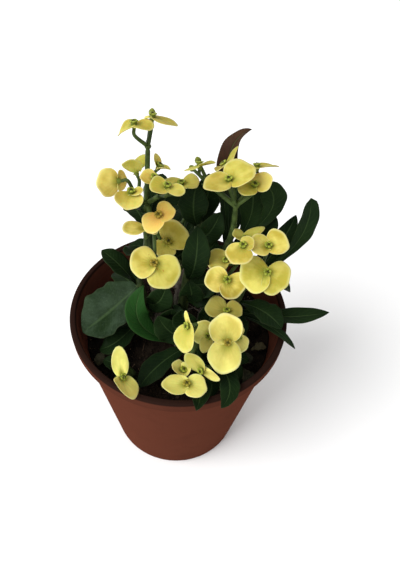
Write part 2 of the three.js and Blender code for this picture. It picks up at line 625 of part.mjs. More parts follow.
// The soil fills the pot to below its rim, and is open where the stems and the low shoot stand in it.
function soil() {
  const bottom = FLOOR_TOP + CLEARANCE;
  const profile = [
    [0, bottom],
    [INNER_FOOT - 3 - CLEARANCE, bottom],
    [innerRadius(FLOOR_TOP + 4) - 1.5 * CLEARANCE, FLOOR_TOP + 4 + CLEARANCE],
    [innerRadius(SOIL_EDGE_HEIGHT) - 1.5 * CLEARANCE, SOIL_EDGE_HEIGHT],
    [44, SOIL_EDGE_HEIGHT],
    [30, SOIL_EDGE_HEIGHT],
    [16, SOIL_EDGE_HEIGHT],
    [0, SOIL_EDGE_HEIGHT],
  ];
  const geometry = turned(profile, POT_SIDES);
  const position = geometry.attributes.position;
  for (let i = 0; i < position.count; i++) {
    if (position.getZ(i) < SOIL_EDGE_HEIGHT - 0.1) continue;
    position.setZ(i, soilHeight(position.getX(i), position.getY(i)));
  }
  let solid = solidOf(geometry);
  const open = (foot, top, radius, sides) => {
    solid = solid.subtract(solidOf(bar(foot, top, radius + CLEARANCE, radius + CLEARANCE, sides)));
  };
  for (const { root } of Object.values(STEMS))
    open(V(...root, ROOT_DEPTH - CLEARANCE), V(...root, ROOT_TOP), ROOT_RADIUS, STEM_SIDES);
  const [foot, top] = SHOOTS.leafy_shoot_low.axis.map((p) => V(...p));
  open(foot.clone().add(V(0, 0, -CLEARANCE)), top, SHOOT_RADIUS, SHOOT_SIDES);
  return geometryOf(solid);
}

const material = (color, roughness) => new THREE.MeshStandardMaterial({ color, roughness, metalness: 0 });
const TERRACOTTA = material(0x8a4a38, 0.5);
const SOIL = material(0x231a15, 1);
const WOOD = material(0x6b6258, 0.9);
const LEAF_GREEN = material(0x1f3a22, 0.45);
const STALK_GREEN = material(0x4a5e2c, 0.55);
const YELLOW = material(0xdccb5a, 0.6);

const plant = new THREE.Group();
function add(name, geometry, finish) {
  const mesh = new THREE.Mesh(geometry, finish);
  mesh.name = name;
  plant.add(mesh);
}

add("pot", pot(), TERRACOTTA);
add("soil", soil(), SOIL);
for (const [name, stem] of Object.entries(STEMS)) add(name, woodyStem(stem), WOOD);
for (const [name, shoot] of Object.entries(SHOOTS)) add(name, leafyShoot(shoot), LEAF_GREEN);
for (const [name, stalk] of Object.entries(STALKS)) {
  add(name, flowerStalk(stalk), STALK_GREEN);
  for (const [bloom, shape] of Object.entries(stalk.blooms)) add(bloom, bractPair(shape), YELLOW);
}

export default plant;
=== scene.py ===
# %% [markdown]
# # A crown of thorns in its nursery pot
# Euphorbia milii is a small thorny shrub. Each of its flowers is a green cup between two coloured
# bracts, which are leaves that look like petals. Here the bracts are yellow, and the plant stands in a
# terracotta coloured plastic pot with potting mix. A solid of every stem, shoot, flower stalk and bloom
# is already there. This lesson puts a finer piece in the place of each solid and gives it its finish.

import math

import bpy
import numpy as np
from mathutils import Euler, Matrix, Vector, noise


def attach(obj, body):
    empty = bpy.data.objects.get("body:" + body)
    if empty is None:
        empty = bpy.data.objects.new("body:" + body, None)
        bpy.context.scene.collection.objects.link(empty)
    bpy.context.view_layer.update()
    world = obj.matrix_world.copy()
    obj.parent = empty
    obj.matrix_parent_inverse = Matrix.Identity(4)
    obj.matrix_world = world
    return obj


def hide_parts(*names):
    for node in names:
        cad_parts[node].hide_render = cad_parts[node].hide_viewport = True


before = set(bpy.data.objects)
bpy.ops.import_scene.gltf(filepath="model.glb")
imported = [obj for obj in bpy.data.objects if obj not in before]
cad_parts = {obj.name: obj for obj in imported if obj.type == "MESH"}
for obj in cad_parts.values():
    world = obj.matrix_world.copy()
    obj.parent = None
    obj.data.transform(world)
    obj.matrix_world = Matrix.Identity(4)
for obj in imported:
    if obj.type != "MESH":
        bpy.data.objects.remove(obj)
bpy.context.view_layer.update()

# %% [markdown]
# ## The measures
# The solids were drawn in millimetres from a few tables: where each stem stands, where each leaf
# begins, bends and ends, and which way each bract points. The finer pieces are drawn from the same
# numbers, so they stay where the solids are. Everything is worked out in millimetres, and turned into
# metres when a mesh is made.

# %% The measures of the pot and of the plant
MM = 0.001
SEED = 7

POT_HEIGHT = 118
RIM_RADIUS = 65
RIM_WIDTH = 4
RIM_HEIGHT = 9
BASE_RADIUS = 43
WALL = 2
FLOOR_TOP = 3.5
CHANNEL_HEIGHT = 1.5
DRAIN_HOLES = 6
DRAIN_RADIUS = 4
DRAIN_CIRCLE = 28

SOIL_EDGE_HEIGHT = 96
SOIL_MOUND = 3

ROOT_RADIUS = 5
ROOT_DEPTH = 70
FORK_HEIGHT = 103
NODE_STEP = 10
SPINE_LENGTH = 9
SPINE_RADIUS = 0.8
SHOOT_RADIUS = 3.3
SHOOT_TOP_RADIUS = 2.2
GOLDEN_ANGLE = math.radians(137.5)
LEAF_OFFSET = 1
COLLAR_RADIUS = 2.1
CUP_DEPTH = 2.2
BUD_RADIUS = 1.7
STALK_RADIUS = 1.5
TWIG_RADIUS = 1.1
LIGHT_HEIGHT = math.radians(49)

# %% [markdown]
# ## The tables
# A woody stem has a root and branches, and each branch carries a leafy shoot. A leaf starts at a share
# of the way up its shoot, passes over a point half way and ends at its tip. A bloom is its fork, its
# centre, the way its cup opens and its two bracts. Directions of bracts are an angle round the clock
# and a lean, as the light from the front sees them.

# %% The woody stems
STEMS = {
    "woody_stem_left": {
        "root": [-10, 0],
        "branches": [
            dict(to="leafy_shoot_back_left", over=[-13, 6, 126], radius=[4.6, 3.8]),
            dict(to="leafy_shoot_left", radius=[4.2, 3.6]),
        ],
    },
    "woody_stem_right": {
        "root": [15, 3],
        "branches": [
            dict(to="leafy_shoot_back_right", over=[19, 9, 122], radius=[4.6, 3.8]),
            dict(to="leafy_shoot_right", radius=[4.4, 3.6]),
        ],
    },
    "woody_stem_front": {
        "root": [3, -12],
        "branches": [
            dict(to="leafy_shoot_front", radius=[4.2, 3.5]),
            dict(to="leafy_shoot_middle", radius=[4.2, 3.5]),
        ],
    },
    "woody_stem_back": {
        "root": [0, 22],
        "branches": [
            dict(to="leafy_shoot_centre", over=[3, 20, 124], radius=[4.6, 3.7]),
            dict(to="leafy_shoot_back", radius=[4.2, 3.6]),
        ],
    },
}

# %% The leafy shoots and their leaves
SHOOTS = {
    "leafy_shoot_back_left": {
        "axis": [[-19, 16, 150], [-20, 18, 178]],
        "leaves": [
            dict(at=0.9, tip=[-31, 9, 190], wide=12, arch=2),
            dict(at=0.8, over=[-9, 21, 188], tip=[0, 24, 195], wide=14, face=[0, -1, 0.8]),
            dict(at=0.7, tip=[-14, 44, 184], wide=14, arch=3),
            dict(at=0.5, tip=[-34, 38, 166], wide=13, arch=4),
            dict(at=0.2, over=[-14, 4, 153], tip=[-8, -4, 156], wide=14, face=[0, -1, 0.8]),
            dict(at=0.1, over=[-26, 8, 156], tip=[-30, 2, 160], wide=12),
            dict(at=0.2, tip=[-2, 42, 162], wide=14, arch=4),
        ],
    },
    "leafy_shoot_centre": {
        "axis": [[6, 20, 142], [9, 19, 172]],
        "leaves": [
            dict(at=0.9, over=[5, 17, 184], tip=[6, 22, 197], wide=16, face=[0, -1, 0.3]),
            dict(at=0.8, over=[12, 25, 184], tip=[12, 31, 197], wide=14, face=[0, -1, 0.3]),
            dict(at=0.7, over=[14, 12, 171], tip=[20, 17, 183], wide=13, face=[0, -1, 0.5]),
            dict(at=0.4, tip=[12, 52, 164], wide=14, arch=4),
            dict(at=0.2, over=[13, 14, 154], tip=[19, 12, 166], wide=14, face=[0, -1, 0.8]),
            dict(at=0.3, over=[0, 12, 154], tip=[-3, 3, 158], wide=14, face=[0, -1, 0.8]),
        ],
    },
    "leafy_shoot_back_right": {
        "axis": [[23, 12, 140], [26, 11, 168]],
        "leaves": [
            dict(at=0.9, over=[21, 30, 204], tip=[32, 36, 223], wide=11, look="red"),
            dict(at=0.8, over=[46, 18, 184], tip=[42, 23, 199], wide=14, blunt=True, face=[0, -1, 0.4]),
            dict(at=0.7, over=[36, 18, 180], tip=[34, 26, 197], wide=17, blunt=True, face=[0, -1, 0.4]),
            dict(at=0.7, over=[42, 17, 171], tip=[50, 18, 181], wide=12, face=[0, -1, 0.5]),
            dict(at=0.5, tip=[30, 58, 176], wide=15, arch=4),
            dict(at=0.3, tip=[54, 34, 162], wide=14, arch=4),
        ],
    },
    "leafy_shoot_right": {
        "axis": [[29, -3, 118], [38, 0, 152]],
        "leaves": [
            dict(at=0.9, over=[62, 11, 168], tip=[66, 18, 196], wide=11, blunt=True, face=[0.3, -1, 0.6]),
            dict(at=0.8, over=[52, 12, 162], tip=[61, 22, 180], wide=12, face=[0.2, -1, 0.6]),
            dict(at=0.6, over=[52, 4, 145], tip=[64, 4, 136], wide=10),
            dict(at=0.4, over=[48, -10, 134], tip=[59, -19, 131], wide=15),
            dict(at=0.5, tip=[60, 32, 142], wide=14, arch=4),
            dict(at=0.2, over=[58, -7, 126], tip=[87, -5, 131], wide=12),
            dict(at=0.1, over=[52, -14, 126], tip=[69, -21, 115], wide=6),
            dict(at=0.3, over=[33, -14, 128], tip=[38, -24, 125], wide=13),
        ],
    },
    "leafy_shoot_front": {
        "axis": [[9, -18, 108], [13, -22, 119]],
        "leaves": [
            dict(at=0.1, over=[-20, -19, 124], tip=[-20, -6, 145], wide=14, look="fresh"),
            dict(at=0.3, over=[16, -46, 116.5], tip=[14, -68, 119.6], wide=11),
            dict(at=0.6, over=[30, -46, 119], tip=[27, -66, 120.3], wide=11),
            dict(at=0.4, over=[20, -38, 109], tip=[22, -52, 107], wide=11),
            dict(at=0.7, over=[28, -26, 115], tip=[43, -28, 109], wide=13),
            dict(at=0.5, over=[30, -34, 112], tip=[38, -40, 107], wide=12),
            dict(at=0.2, over=[-7, -34, 111], tip=[-19, -48, 105], wide=14),
            dict(at=0.8, over=[5, -17, 127], tip=[2, -18, 140], wide=14, face=[0, -1, 0.6]),
            dict(at=0.6, over=[-3, -20, 121], tip=[-11, -17, 132], wide=14, face=[0, -1, 0.8]),
            dict(at=0.9, over=[18, -13, 126], tip=[20, -9, 139], wide=14, face=[0, -1, 0.6]),
        ],
    },
    "leafy_shoot_left": {
        "axis": [[-19, 0, 112], [-24, 3, 138]],
        "leaves": [
            dict(at=0.9, over=[-39, -8, 123], tip=[-55, -19, 114], wide=33, broad=True, look="dusty"),
            dict(at=0.8, over=[-34, 3, 149], tip=[-45, 8, 156], wide=13),
            dict(at=0.4, over=[-12, -9, 134], tip=[-7, -9, 150], wide=15, face=[0, -1, 0.6]),
            dict(at=0.1, over=[-33, -19, 110], tip=[-45, -24, 105], wide=14),
            dict(at=0.4, tip=[-42, 24, 120], wide=14, arch=4),
        ],
    },
    "leafy_shoot_middle": {
        "axis": [[2, 0, 119], [4, 3, 150]],
        "leaves": [
            dict(at=0.8, over=[8, -4, 164], tip=[8, 4, 184], wide=15, face=[0, -1, 0.4]),
            dict(at=0.5, over=[7, -10, 144], tip=[5, -12, 158], wide=14, face=[0, -1, 0.6]),
            dict(at=0.6, over=[13, -5, 148], tip=[22, -7, 150], wide=15, face=[0, -1, 1]),
            dict(at=0.3, over=[12, -3, 134], tip=[20, -1, 143], wide=13, face=[0, -1, 0.8]),
            dict(at=0.2, over=[-3, -11, 127], tip=[-3, -16, 138], wide=13, face=[0, -1, 0.6]),
        ],
    },
    "leafy_shoot_back": {
        "axis": [[-2, 34, 112], [-3, 42, 136]],
        "leaves": [
            dict(at=0.9, tip=[20, 56, 158], wide=14, arch=2),
            dict(at=0.8, tip=[-32, 54, 142], wide=14, arch=3),
            dict(at=0.7, tip=[26, 66, 136], wide=14, arch=4),
            dict(at=0.5, tip=[0, 80, 132], wide=15, arch=5),
            dict(at=0.3, tip=[-36, 44, 124], wide=14, arch=4),
            dict(at=0.2, tip=[36, 44, 122], wide=14, arch=4),
        ],
    },
    "leafy_shoot_low": {
        "axis": [[-21, -33, 84], [-25, -39, 107]],
        "leaves": [
            dict(at=0.9, tip=[-41, -34, 109], wide=10, arch=2),
        ],
    },
}

# %% The flower stalks and their blooms
STALKS = {
    "flower_stalk_back_left": {
        "on": "leafy_shoot_back_left",
        "rise": 6,
        "forks": {
            "high": ["low", [-19, 20, 220]],
            "left": ["low", [-24, 9, 194]],
            "middle": ["low", [-12, 12, 196]],
            "front": ["low", [-15, 6, 180]],
        },
        "buds": [["high", [-18, 31, 232]]],
        "blooms": {
            "bloom_top_1": ["high", [-25, 17, 234], [95, 35], [210, -15, 9.5], [359, 5, 9.5, 0, 0.95]],
            "bloom_top_2": ["high", [-17, 24, 234], [85, 30], [352, -10, 12.5, 0, 0.7],
                [185, -10, 4, 0, 0.8]],
            "bloom_left_1": ["left", [-32, 3, 211], [180, -10], [193, 10, 11, 0, 0.95],
                [22, -50, 6.5, 0, 1.1]],
            "bloom_left_2": ["left", [-25, 18, 205], [110, 15], [127, 35, 9.5, 0, 0.8],
                [82, -20, 13, 0, 0.4]],
            "bloom_left_3": ["left", [-25, -3, 209], [80, 40], [263, 30, 9.5], [25, 20, 6.5, 0, 0.7]],
            "bloom_left_4": ["middle", [-15, 9, 209], [60, 60], [171, 15, 7, 0, 0.9], [355, 0, 4, 0, 0.6]],
            "bloom_left_5": ["middle", [-14, 22, 206], [60, 25], [91, 15, 7.5, 0, 0.6],
                [8, 10, 6.5, 0, 0.7]],
            "bloom_left_6": ["middle", [-8, 2, 210], [80, 45], [183, 20, 8.5, 0, 1.1],
                [349, 20, 9.5, 0, 0.6]],
            "bloom_left_7": ["middle", [-2, 18, 199], [90, 40], [170, 10, 8.5], [16, 10, 9.5]],
            "bloom_middle_1": ["front", [-11, -6, 198], [120, 60], [234, 15, 10, 0, 0.85], [32, 10, 8.5]],
            "bloom_middle_2": ["front", [-18, -4, 187], [90, 35], [180, 5, 12, 0, 0.7],
                [348, 10, 6.5, 0, 0.8]],
            "bloom_middle_3": ["front", [-8, 6, 168], [50, 55], [50, 5, 13], [250, 10, 9]],
            "bloom_middle_4": ["front", [-13, -14, 172], [100, 75], [175, 10, 12.5, 0, 0.95],
                [323, 5, 15, 0, 0.9]],
        },
    },
    "flower_stalk_back_right": {
        "on": "leafy_shoot_back_right",
        "rise": 12,
        "forks": {"high": ["low", [27, 11, 193]], "side": ["high", [12, 18, 201]]},
        "buds": [["side", [6, 27, 208]], ["side", [3, 28, 202]]],
        "blooms": {
            "bloom_back_1": ["high", [22, 9, 211], [105, 50], [193, 10, 13, 0, 0.8], [40, 5, 14.5, 0, 0.9]],
            "bloom_back_2": ["high", [20, 22, 210], [135, 20], [64, 0, 11.5, 0, 0.5], [206, 20, 6]],
            "bloom_back_3": ["high", [35, 11, 207], [80, 50], [203, 15, 8.5], [41, 8, 10, 0, 0.85]],
            "bloom_back_4": ["high", [36, 22, 210], [95, 20], [17, -5, 11.5, 0, 0.7], [195, 0, 6]],
            "bloom_back_5": ["side", [7, 19, 211], [95, 15], [205, 5, 8], [20, 10, 8]],
        },
    },
    "flower_stalk_right": {
        "on": "leafy_shoot_right",
        "rise": 5,
        "forks": {"right": ["low", [44, 0, 160]], "left": ["low", [32, 3, 160]]},
        "buds": [],
        "blooms": {
            "bloom_right_1": ["left", [34, 4, 176], [100, 35], [150, 25, 8.5], [48, -5, 12.5, 0, 0.5]],
            "bloom_right_2": ["right", [45, -5, 181], [90, 55], [174, 15, 10.5, 0, 0.95], [26, 10, 11]],
            "bloom_right_3": ["right", [46, -11, 168], [80, 80], [193, 8, 14.5, 0, 0.95],
                [332, 5, 12.5, 0, 1.1]],
            "bloom_right_4": ["left", [25, -1, 164], [130, 55], [176, 10, 11.5, 0, 0.9],
                [59, 5, 8.5, 0, 0.8]],
            "bloom_right_5": ["left", [25, -13, 162], [45, 70], [181, 10, 11.5, 0, 0.85],
                [321, 10, 11, 0, 1.1]],
            "bloom_right_6": ["left", [32, -8, 183], [110, 55], [242, 15, 10.5], [49, 15, 6.5]],
        },
    },
    "flower_stalk_front": {
        "on": "leafy_shoot_front",
        "rise": 4,
        "forks": {"left": ["low", [7, -29, 127]], "out": ["low", [7, -38, 119]]},
        "buds": [],
        "blooms": {
            "bloom_front_1": ["low", [27, -18, 141], [90, 40], [165, 10, 12], [20, 0, 9]],
            "bloom_front_2": ["left", [7, -35, 149], [185, 40], [256, 5, 14.5, 0, 0.75],
                [110, 0, 8, 0, 0.4]],
            "bloom_front_3": ["low", [19, -28, 132], [190, 55], [153, 10, 10.5], [244, 10, 10.5, 0, 0.5]],
            "bloom_front_4": ["low", [28, -36, 138], [0, 85], [100, 5, 15.5, 0, 0.8], [264, 0, 17, 0, 0.75]],
            "bloom_front_5": ["out", [16, -47, 126], [200, 45], [144, 5, 12.5, 0, 0.6],
                [336, 10, 10.5, 0, 0.45]],
            "bloom_front_6": ["low", [34, -27, 131], [10, 60], [290, 10, 9], [100, 0, 7]],
            "bloom_low_1": ["out", [8, -56, 125], [90, 50], [179, 10, 13, 0, 0.68], [354, 10, 11, 0, 0.9]],
            "bloom_low_2": ["out", [5, -46, 122], [60, 35], [136, 20, 7], [43, 20, 6]],
        },
    },
    "flower_stalk_low": {
        "on": "leafy_shoot_low",
        "rise": 6,
        "forks": {},
        "buds": [],
        "blooms": {
            "bloom_low_3": ["low", [-27, -53, 123], [20, 45], [104, -15, 17, -60, 0.36],
                [318, 42, 15, 0, 0.68]],
        },
    },
    "flower_stalk_back": {
        "on": "leafy_shoot_back",
        "rise": 8,
        "forks": {},
        "buds": [],
        "blooms": {
            "bloom_rear_1": ["low", [-14, 56, 152], [100, -20], [175, 0, 12], [5, 0, 12]],
            "bloom_rear_2": ["low", [5, 62, 154], [80, -20], [185, 0, 11], [0, 0, 11]],
        },
    },
}

print("leaves:", sum(len(shoot["leaves"]) for shoot in SHOOTS.values()))
print("blooms:", sum(len(stalk["blooms"]) for stalk in STALKS.values()))

# %% [markdown]
# ## Camera, floor and lights
# The plant was seen from above and in front, a little turned. The camera takes that place, with a short
# lens. The floor is a plain white sheet. One large lamp on the left, high and in front, gives the pot
# and the bracts a bright side. It is wide so that its shadow is soft, and the white surroundings fill in
# the rest.

# %% Camera
CAMERA_PLACE = (0.0114, -0.2232, 0.4009)
CAMERA_DOWN = math.radians(49.3)
CAMERA_ROLL = math.radians(4)
LENS_MM = 37.9

camera = bpy.data.objects.new("camera", bpy.data.cameras.new("camera"))
bpy.context.scene.collection.objects.link(camera)
look = Euler((math.pi / 2 - CAMERA_DOWN, 0, 0)).to_matrix().to_4x4()
camera.matrix_world = Matrix.Translation(CAMERA_PLACE) @ look @ Matrix.Rotation(CAMERA_ROLL, 4, "Z")
camera.data.lens = LENS_MM
camera.data.clip_start = 0.01
bpy.context.scene.camera = camera
bpy.context.scene.view_settings.view_transform = "Standard"

# %% Lamps and surroundings
def lamp(name, place, target, size, power):
    """A square lamp at a place, turned towards its target."""
    light = bpy.data.lights.new(name, "AREA")
    light.size = size
    light.energy = power
    holder = bpy.data.objects.new(name, light)
    bpy.context.scene.collection.objects.link(holder)
    holder.location = place
    toward = Vector(target) - holder.location
    holder.rotation_euler = toward.to_track_quat("-Z", "Y").to_euler()


KEY_PLACE = (-2.0, -1.2, 2.3)
KEY_TARGET = (0, 0, 0.1)
KEY_SIZE = 2.4
KEY_WATTS = 114
SURROUNDINGS = 0.7

lamp("key_lamp", KEY_PLACE, KEY_TARGET, KEY_SIZE, KEY_WATTS)
world = bpy.data.worlds.new("surroundings")
world.use_nodes = True
world.node_tree.nodes["Background"].inputs["Color"].default_value = (1, 1, 1, 1)
world.node_tree.nodes["Background"].inputs["Strength"].default_value = SURROUNDINGS
bpy.context.scene.world = world

# %% [markdown]
# ## Node trees from Python expressions
# Finishes and repeated details are node trees. Laid out by hand they are hard to read, so a small class
# wraps a socket: adding or multiplying wrapped sockets adds the Math nodes. One method adds every other
# kind of node, from its type, its settings and what goes into its sockets.

# %% A socket that takes part in sums
class Socket:
    """A node's output in a Python expression: 1 - mask * 0.5 adds the Math nodes that it needs."""

    def __init__(self, tree, output):
        self.tree = tree
        self.output = output

    def math(self, operation, *values):
        return self.tree.node("ShaderNodeMath", {"operation": operation}, dict(enumerate(values)))

    def __add__(self, other):
        return self.math("ADD", self, other)

    def __sub__(self, other):
        return self.math("SUBTRACT", self, other)

    def __rsub__(self, other):
        return self.math("SUBTRACT", other, self)

    def __mul__(self, other):
        return self.math("MULTIPLY", self, other)

    __radd__ = __add__
    __rmul__ = __mul__

    def sine(self):
        return self.math("SINE", self)

    def size(self):
        return self.math("ABSOLUTE", self)

    def between(self, low, high):
        """0 below low, 1 above high, and a soft step from one to the other."""
        settings = {"interpolation_type": "SMOOTHSTEP"}
        return self.tree.node("ShaderNodeMapRange", settings, {0: self, 1: low, 2: high, 3: 0.0, 4: 1.0})


# %% A tree that nodes are added to
class Tree:
    """A node tree, with one method for every kind of node."""

    def __init__(self, nodes):
        self.nodes = nodes

    def node(self, kind, settings=None, values=None, output=0):
        node = self.nodes.nodes.new(kind)
        for name, value in (settings or {}).items():
            setattr(node, name, value)
        for socket, value in (values or {}).items():
            if isinstance(value, Socket):
                self.nodes.links.new(value.output, node.inputs[socket])
            else:
                node.inputs[socket].default_value = value
        return Socket(self, node.outputs[output])

    def mix(self, share, first, second):
        """From one colour to another."""
        ends = [(*end, 1) if isinstance(end, tuple) else end for end in (first, second)]
        return self.node("ShaderNodeMix", {"data_type": "RGBA"}, {0: share, 6: ends[0], 7: ends[1]}, 2)


class Finish(Tree):
    """A material and the nodes that vary it."""

    def __init__(self, name, **constants):
        self.material = bpy.data.materials.new(name)
        self.material.use_nodes = True
        super().__init__(self.material.node_tree)
        self.shader = self.nodes.nodes["Principled BSDF"]
        for socket, value in constants.items():
            self.shader.inputs[socket.replace("_", " ")].default_value = value

    def read(self, name):
        """A number that the mesh keeps at each point."""
        return self.node("ShaderNodeAttribute", {"attribute_name": name}, output="Fac")

    def place(self, *stretch):
        """The point's place on the object, in metres, stretched along its axes."""
        where = self.node("ShaderNodeTexCoord", output="Object")
        return self.node("ShaderNodeMapping", values={0: where, 3: stretch}) if stretch else where

    def height(self):
        return self.node("ShaderNodeSeparateXYZ", values={0: self.place()}, output=2)

    def noise(self, grains_per_metre, detail=2.0, rough=0.5, where=None):
        values = {"Vector": where or self.place(), "Scale": grains_per_metre}
        return self.node("ShaderNodeTexNoise", values={**values, "Detail": detail, "Roughness": rough})

    def surface(self, colour, roughness, relief=None, depth=0.0):
        """Joins the varying colour, roughness and relief to the shader. The relief's depth is in mm."""
        self.nodes.links.new(colour.output, self.shader.inputs["Base Color"])
        if isinstance(roughness, Socket):
            self.nodes.links.new(roughness.output, self.shader.inputs["Roughness"])
        else:
            self.shader.inputs["Roughness"].default_value = roughness
        if relief:
            values = {"Height": relief, "Distance": depth * MM, "Strength": 1.0}
            bump = self.node("ShaderNodeBump", values=values)
            self.nodes.links.new(bump.output, self.shader.inputs["Normal"])
        return self.material


# %% Floor
paper = Finish("floor_white", Roughness=0.9)
paper.shader.inputs["Base Color"].default_value = (0.97, 0.97, 0.97, 1)
bpy.ops.mesh.primitive_plane_add(size=6, location=(0, 0, -0.0002))
floor = bpy.context.object
floor.name = "floor"
floor.data.materials.append(paper.material)
print("camera:", tuple(camera.location), "lens:", camera.data.lens)

# %% [markdown]
# ## From points to a piece
# A leaf, a bract and a stem are all a grid of points that is wrapped into a closed skin. The helper here
# collects such skins, with numbers kept at each point for the finish to read, such as how far along a
# leaf the point lies. It then makes one object of them, which stands for its solids.

# %% A piece that is made of skins
class Piece:
    """Closed skins of points in millimetres, and the numbers that their finish reads at each point."""

    def __init__(self, name, *finishes):
        self.name = name
        self.finishes = finishes
        self.points = []
        self.faces = []
        self.kinds = []
        self.values = {}

    def add(self, skin, finish=0, **values):
        points, faces, known = skin
        start = len(self.points)
        self.points.extend(points)
        self.faces.extend([start + corner for corner in face] for face in faces)
        self.kinds.extend([finish] * len(faces))
        for name, value in {**known, **values}.items():
            row = self.values.setdefault(name, {})
            row[start] = np.broadcast_to(value, len(points))

    def mesh(self):
        mesh = bpy.data.meshes.new(self.name)
        mesh.from_pydata((np.array(self.points) * MM).tolist(), [], self.faces)
        for finish in self.finishes:
            mesh.materials.append(finish)
        mesh.polygons.foreach_set("material_index", self.kinds)
        mesh.polygons.foreach_set("use_smooth", [True] * len(self.faces))
        for name, rows in self.values.items():
            whole = np.zeros(len(self.points), np.float32)
            for start, row in rows.items():
                whole[start : start + len(row)] = row
            mesh.attributes.new(name, "FLOAT", "POINT").data.foreach_set("value", whole)
        return mesh

    def make(self, slot, *nodes):
        thing = bpy.data.objects.new(self.name, self.mesh())
        bpy.context.scene.collection.objects.link(thing)
        return settle(thing, slot, *nodes)


def settle(thing, slot, *nodes):
    """The finished object rides on the pot and stands for its solids. Its slot is not used."""
    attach(thing, "root")
    if nodes:
        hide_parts(*nodes)
    thing.data.calc_loop_triangles()
    print(thing.name, "triangles:", len(thing.data.loop_triangles))
    return thing


# %% Skins: a closed blade and a round bar
def unit(vectors):
    vectors = np.asarray(vectors, float)
    return vectors / np.linalg.norm(vectors, axis=-1, keepdims=True)


def lerp(start, end, share):
    return start + (end - start) * share


def grid(rows, columns, width, start=0, back=False):
    """The four-cornered faces of a grid whose rows are width points long."""
    faces = []
    for i in range(rows):
        for j in range(columns):
            a, b = start + i * width + j, start + i * width + (j + 1) % width
            face = [a, a + width, b + width, b]
            faces.append(face[::-1] if back else face)
    return faces


def blade(upper, lower, values):
    """A closed skin between two grids of points with the same rim."""
    rows, columns = upper.shape[0] - 1, upper.shape[1] - 1
    width = columns + 1
    count = (rows + 1) * width
    faces = grid(rows, columns, width) + grid(rows, columns, width, count, back=True)
    rim = [(0, j) for j in range(columns)] + [(i, columns) for i in range(rows)]
    rim += [(rows, j) for j in range(columns, 0, -1)] + [(i, 0) for i in range(rows, 0, -1)]
    flat = [i * width + j for i, j in rim]
    faces += [[b, a, a + count, b + count] for a, b in zip(flat[1:] + flat[:1], flat)]
    points = np.concatenate([upper.reshape(-1, 3), lower.reshape(-1, 3)])
    doubled = {name: np.tile(value.ravel(), 2) for name, value in values.items()}
    doubled["under"] = np.repeat([0.0, 1.0], count)
    return points, faces, doubled


def smooth_line(points, count):
    """count + 1 points, evenly spaced, on a smooth curve through the given ones."""
    points = np.array(points, float)
    ends = [2 * points[0] - points[1], *points, 2 * points[-1] - points[-2]]
    fine = []
    for before, start, end, after in zip(ends, ends[1:], ends[2:], ends[3:]):
        for t in np.linspace(0, 1, 16, endpoint=False):
            curve = 2 * start + (end - before) * t + (2 * before - 5 * start + 4 * end - after) * t**2
            fine.append((curve + (3 * start - before - 3 * end + after) * t**3) / 2)
    fine = np.array([*fine, points[-1]])
    run = np.concatenate([[0], np.cumsum(np.linalg.norm(np.diff(fine, axis=0), axis=1))])
    even = np.linspace(0, run[-1], count + 1)
    return np.stack([np.interp(even, run, fine[:, k]) for k in range(3)], axis=1)


def bar(centres, radii, sides=12, rough=None):
    """A round bar along its centres, closed at both ends."""
    centres = np.array(centres, float)
    last = len(centres) - 1
    tangents = unit(np.gradient(centres, axis=0))
    side = np.array([0.0, 1.0, 0.0]) if abs(tangents[0][1]) < 0.9 else np.array([1.0, 0.0, 0.0])
    turns = np.linspace(0, 2 * math.pi, sides, endpoint=False)
    points = []
    for k, (centre, tangent) in enumerate(zip(centres, tangents)):
        across = unit(np.cross(side, tangent))
        side = np.cross(tangent, across)
        radius = radii[k] * (rough[k] if rough is not None else np.ones(sides))
        ring = np.cos(turns)[:, None] * across + np.sin(turns)[:, None] * side
        points.extend(centre + radius[:, None] * ring)
    points += [centres[0], centres[-1]]
    faces = grid(last, sides, sides, back=True)
    foot, top = len(points) - 2, len(points) - 1
    for j in range(sides):
        after = (j + 1) % sides
        faces += [[foot, after, j], [top, last * sides + j, last * sides + after]]
    along = np.append(np.repeat(np.linspace(0, 1, last + 1), sides), [0, 1])
    return np.array(points), faces, {"along": along}


# %% [markdown]
# ## Repeats by geometry nodes
# Spines, crumbs of soil, glands and drain holes repeat. A geometry tree makes each of them once and
# places it many times, from named inputs and a fixed seed. The result is turned into a plain mesh, so
# that nothing in the finished piece depends on a modifier.

